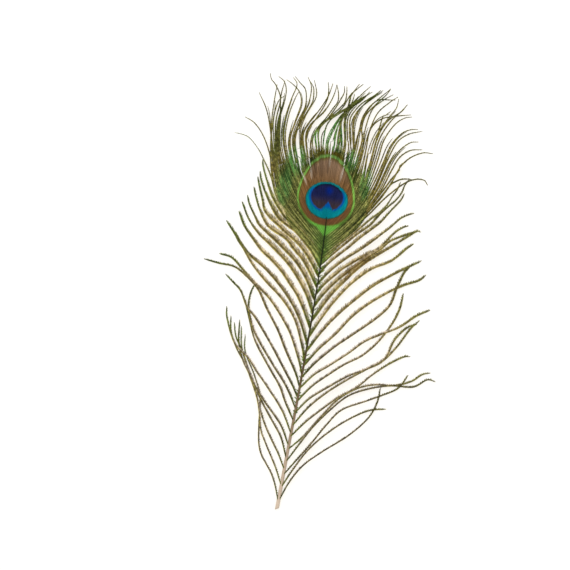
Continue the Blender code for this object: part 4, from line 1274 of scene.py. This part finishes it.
# Light is the painted light of a ribbon's upper flank, and Base the painted shade of its core.
loose = dict(Root=srgb(92, 98, 40), Dark=srgb(104, 94, 60), Light=srgb(216, 198, 182), Light_from=0.14,
             Light_to=0.66, Fray=0.25, Base=-0.6)
right_finish = barb_material("olive bronze barbs", Tip=srgb(114, 112, 58), Rim=srgb(182, 168, 108), **loose)
left_finish = barb_material(
    "olive bronze barbs with dark tips", Tip=srgb(92, 106, 42), Rim=srgb(206, 192, 104), **loose)
crown_finish = barb_material(
    "olive green crown barbs", crown=True, Root=srgb(96, 102, 44), Dark=srgb(114, 106, 50),
    Light=srgb(196, 170, 104), Tip=srgb(106, 104, 46), Rim=srgb(122, 114, 50), Light_from=0.5, Light_to=0.75,
    Contrast=0.5)
tuft_finish = barb_material(
    "green tufts", Root=srgb(76, 96, 36), Dark=srgb(94, 118, 44), Light=srgb(130, 150, 70),
    Tip=srgb(130, 160, 74), Rim=srgb(120, 150, 60), Contrast=0.8)
for piece, finish in ((right_barbs, right_finish), (left_barbs, left_finish), (crown_left, crown_finish),
                      (crown_right, crown_finish), (tufts, tuft_finish)):
    piece.data.materials.append(finish)
    print(piece.name, "is", finish.name)

# %% [markdown]
# ## The pattern of the eye
#
# The eye is a set of nested eggs: a dark heart with a notch, a blue to turquoise spot, a bronze field and a
# green ring. The colour comes from layers in each barbule, so the pattern isn't printed on: it changes from
# one barbule to the next. It is therefore worked out by position, with a small shift for each barb, which
# makes the edges of the zones slightly jagged as they are on the real one.

# %% Group: the eye's colours
eye_tree, given, eye_out = group(
    "eye pattern",
    {"X": 0.0, "Y": 0.0, "Shift": 0.0, "Streak": 0.5, "Outside": None},
    {"Color": "Color", "Blue": "Float"},
)
# Beside the slits the barbs lie thin and let light through: eggs as above, and their lean.
THIN = ((6.4, 239, 1.3, 7, 7, 0.07), (-18.6, 232, 1.2, 5, 6, -0.5), (-14.8, 237, 1.2, 5, 6, -0.25),
        (-3.2, 246.5, 1.1, 5, 5, -0.07))
x, y = given["X"], given["Y"] + given["Shift"]
heart = egg(x, y, -1.1, 222.0, 11.4, 9.3, 9.6)
spot = egg(x, y, -1.0, 220.0, 15.1, 12.6, 13.5)
bronze = egg(x, y, -1.8, 221.0, 19.3, 28.8, 19.2, -0.06, 0.1)
ring = egg(x, y, -1.7, 221.2, 20.4, 30.4, 21.2, -0.06, 0.1)
notch = calc("ABSOLUTE", x - 0.4) - (218.9 - y) * 0.7
foot = calc("ABSOLUTE", x - 1.3) - (y - 194.5) * 1.1

# %% The zones, from the rim to the heart
ring_colour = layered(
    srgb(100, 162, 62), (ramp(y, 201, 206), srgb(88, 120, 46)), (ramp(y, 208, 220), srgb(116, 164, 69)),
    (ramp(y, 232, 250), srgb(108, 148, 72)))
field = layered(
    srgb(102, 68, 40), (ramp(y, 206, 226), srgb(116, 84, 46)), (ramp(y, 228, 246), srgb(134, 107, 82)),
    (ramp(bronze, 0.9, 1.0), srgb(96, 84, 36)))
turquoise = layered(
    srgb(0, 134, 144), (ramp(spot, 0.9, 1.0), srgb(24, 104, 84)), (ramp(spot, 0.965, 1.0), srgb(26, 62, 40)))
deep = layered(
    srgb(28, 34, 78), (ramp(egg(x, y, -0.2, 227.0, 3.6, 2.8, 4.6), 1.1, 0.1), srgb(2, 38, 124)),
    (ramp(y, 223.5, 215.5), srgb(67, 55, 60)),
    (ramp(heart * ramp(y, 222.0, 227.0), 0.82, 0.98), srgb(10, 18, 42)))
in_ring = calc("MAXIMUM", ramp(ring, 1.025, 0.98), ramp(foot, 0.8, -0.8) * ramp(y, 205.0, 203.0))
under = ramp(calc("ABSOLUTE", x - 0.6), 5.5, 2.0) * ramp(y, 216.5, 212.0)
blue = ramp(heart, 1.2, 1.02) * ramp(y, 230.0, 225.0) * (1.0 - under)
dark = ramp(heart, 1.03, 0.96) * calc("MAXIMUM", ramp(notch, -0.6, 0.5), ramp(y, 218.4, 219.2))
colour = layered(
    given["Outside"],
    (ramp(ring, 1.13, 1.07) * ramp(y, 247.5, 251.0), srgb(82, 76, 18)),
    (in_ring, ring_colour),
    (ramp(bronze, 1.012, 0.985), field),
)
colour = layered(
    shaded(colour, given["Streak"] * 0.9 + 0.55),
    *((ramp(egg(x, y, *place), 1.0, 0.3) * 0.4, srgb(206, 190, 168)) for place in THIN),
    (ramp(spot, 1.015, 0.985), turquoise),
    (blue, srgb(0, 86, 164)),
    (dark, deep),
)
put(eye_out["Color"], colour)
put(eye_out["Blue"], ramp(spot, 1.02, 0.98))
print("nodes in the eye's pattern:", len(eye_tree.nodes))

# %% [markdown]
# ## The finish of the eye
#
# Outside the ring the eye's barbs get the tone of a barb, as the loose ones do, and inside it the pattern
# covers them. Along the core of each strand a painted shade darkens the valley between strands, deeper on
# some than on others, which keeps the strands apart. The blue part shines a little like metal, because its
# colour is a reflection from layers and not a dye.

# %% Material of the eye
eye_finish, tree, shader = new_material("eye barbs", 0.5, 0.06)
x, y = millimetres(tree)
tint, speck, across = numbers(tree, "tint", "speck", "across")
# Light is painted light on the upper flank of a strand, and Base a painted shade on its core.
outside = placed(
    tree, tone_tree, Root=srgb(80, 106, 46), Dark=srgb(50, 62, 16), Light=srgb(196, 190, 112),
    Tip=srgb(80, 84, 30), Rim=srgb(70, 84, 24), Light_from=0.12, Light_to=0.5, Contrast=0.8, Fray=0.1,
    Strand=ramp(y, 225, 195) * 0.4 + 0.3, Inner=0.45, Base=-0.15, Green=patched(leaf_green, x, y) * 0.5)
outside = mottled(tree, outside["Color"], scale=600, darkest=0.65, more=0.5)
pattern = placed(tree, eye_tree, X=x, Y=y, Shift=tint + (speck * 0.5 - 0.75), Streak=tint, Outside=outside)
uneven = calc("FRACT", tint * 5.3)
# painted shade: the valley along the core of each strand is darkened in the colour
painted_core_shade = (uneven * 0.7 + 0.2) * ramp(across, 0.34, 0.1)  # the groove along the core of each strand
put(shader["Base Color"], shaded(pattern["Color"], painted_core_shade * -0.9 + 1.4))
put(shader["Metallic"], pattern["Blue"] * 0.5)
grained(tree, shader)
for piece in (eye_left, eye_right):
    piece.data.materials.append(eye_finish)
    print(piece.name, "is", eye_finish.name)

# %% [markdown]
# ## The horn of the shaft
#
# The cut end is pale, pinkish horn. Higher up it turns brown and then nearly black green as it thins out
# into the eye. Fine spots break up its surface, and the cut face shows paler pith.

# %% Material of the shaft
horn, tree, shader = new_material("shaft horn", 0.45, 0.06)
along, pith = numbers(tree, "along", "pith")
ramped = tree.nodes.new("ShaderNodeValToRGB")
stops = ((0.0, (226, 206, 184)), (0.14, (204, 182, 158)), (0.3, (150, 128, 100)), (0.45, (96, 78, 54)),
         (0.6, (56, 50, 32)), (0.8, (38, 44, 22)), (1.0, (34, 42, 20)))
while len(ramped.color_ramp.elements) < len(stops):
    ramped.color_ramp.elements.new(0.5)
for element, (place, shade) in zip(ramped.color_ramp.elements, stops):
    element.position = place
    element.color = srgb(*shade)
put(ramped.inputs[0], along)
uneven = grained(tree, shader, scale=1500, strength=0.2)
colour = layered(
    Value(tree, ramped.outputs["Color"]),
    (uneven * ramp(along, 0.6, 0.3) * 0.35, srgb(120, 96, 80)),
    (pith, srgb(236, 226, 208)),
)
put(shader["Base Color"], colour)
shaft.data.materials.append(horn)
print(shaft.name, "is", horn.name, "with", len(stops), "shades")

# %% [markdown]
# ## Table, light and camera
#
# The feather lies on a white surface and is seen from straight above. Soft light from all sides keeps the
# shadows faint, with one large lamp a little to the side so that the arching barbs still stand off the
# table.

# %% Floor
bpy.ops.mesh.primitive_plane_add(size=4.0, location=(0, 0, -0.0002))
floor = bpy.context.object
floor.name = "floor"
paper, tree, shader = new_material("white paper", 0.9, 0.1)
put(shader["Base Color"], (0.3, 0.3, 0.3, 1))
put(shader["Emission Color"], (1, 0.96, 0.89, 1))
put(shader["Emission Strength"], 0.73)
floor.data.materials.append(paper)
floor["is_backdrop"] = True
print("the floor is", round(floor.dimensions.x, 2), "m wide")

# %% Light
world = bpy.data.worlds.new("studio")
bpy.context.scene.world = world
world.use_nodes = True
put(world.node_tree.nodes["Background"].inputs["Color"], (1, 1, 1, 1))
put(world.node_tree.nodes["Background"].inputs["Strength"], 1.0)
lamp = bpy.data.objects.new("soft lamp", bpy.data.lights.new("soft lamp", "AREA"))
lamp.data.size = 1.2
lamp.data.energy = 12.0
lamp.location = (-0.5, 0.6, 1.3)
lamp.rotation_euler = (math.radians(-24.8), math.radians(-21), 0)
bpy.context.scene.collection.objects.link(lamp)
print("lamp of", lamp.data.energy, "W at", [round(place, 2) for place in lamp.location])

# %% Camera
ROLL = math.radians(9.42)
SEEN = 0.399  # what the width of the picture covers at the feather, m
HEIGHT = 2.0
SENSOR = 36  # width of the camera's sensor, mm
camera = bpy.data.objects.new("camera", bpy.data.cameras.new("camera"))
camera.data.sensor_width = SENSOR
camera.data.lens = SENSOR * HEIGHT / SEEN
camera.data.clip_end = 20
camera.location = (-0.02808, 0.00421, HEIGHT + 0.002)
camera.rotation_euler = (0, 0, ROLL)
bpy.context.scene.collection.objects.link(camera)
bpy.context.scene.camera = camera
bpy.context.scene.view_settings.view_transform = "Standard"
print("lens, mm:", round(camera.data.lens, 1))

# %% Size of the dressed feather
dressed_box = [[float(c) for c in corner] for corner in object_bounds()]
print("dressed feather, mm:", np.round((np.array(dressed_box[1]) - dressed_box[0]) / MM, 1))
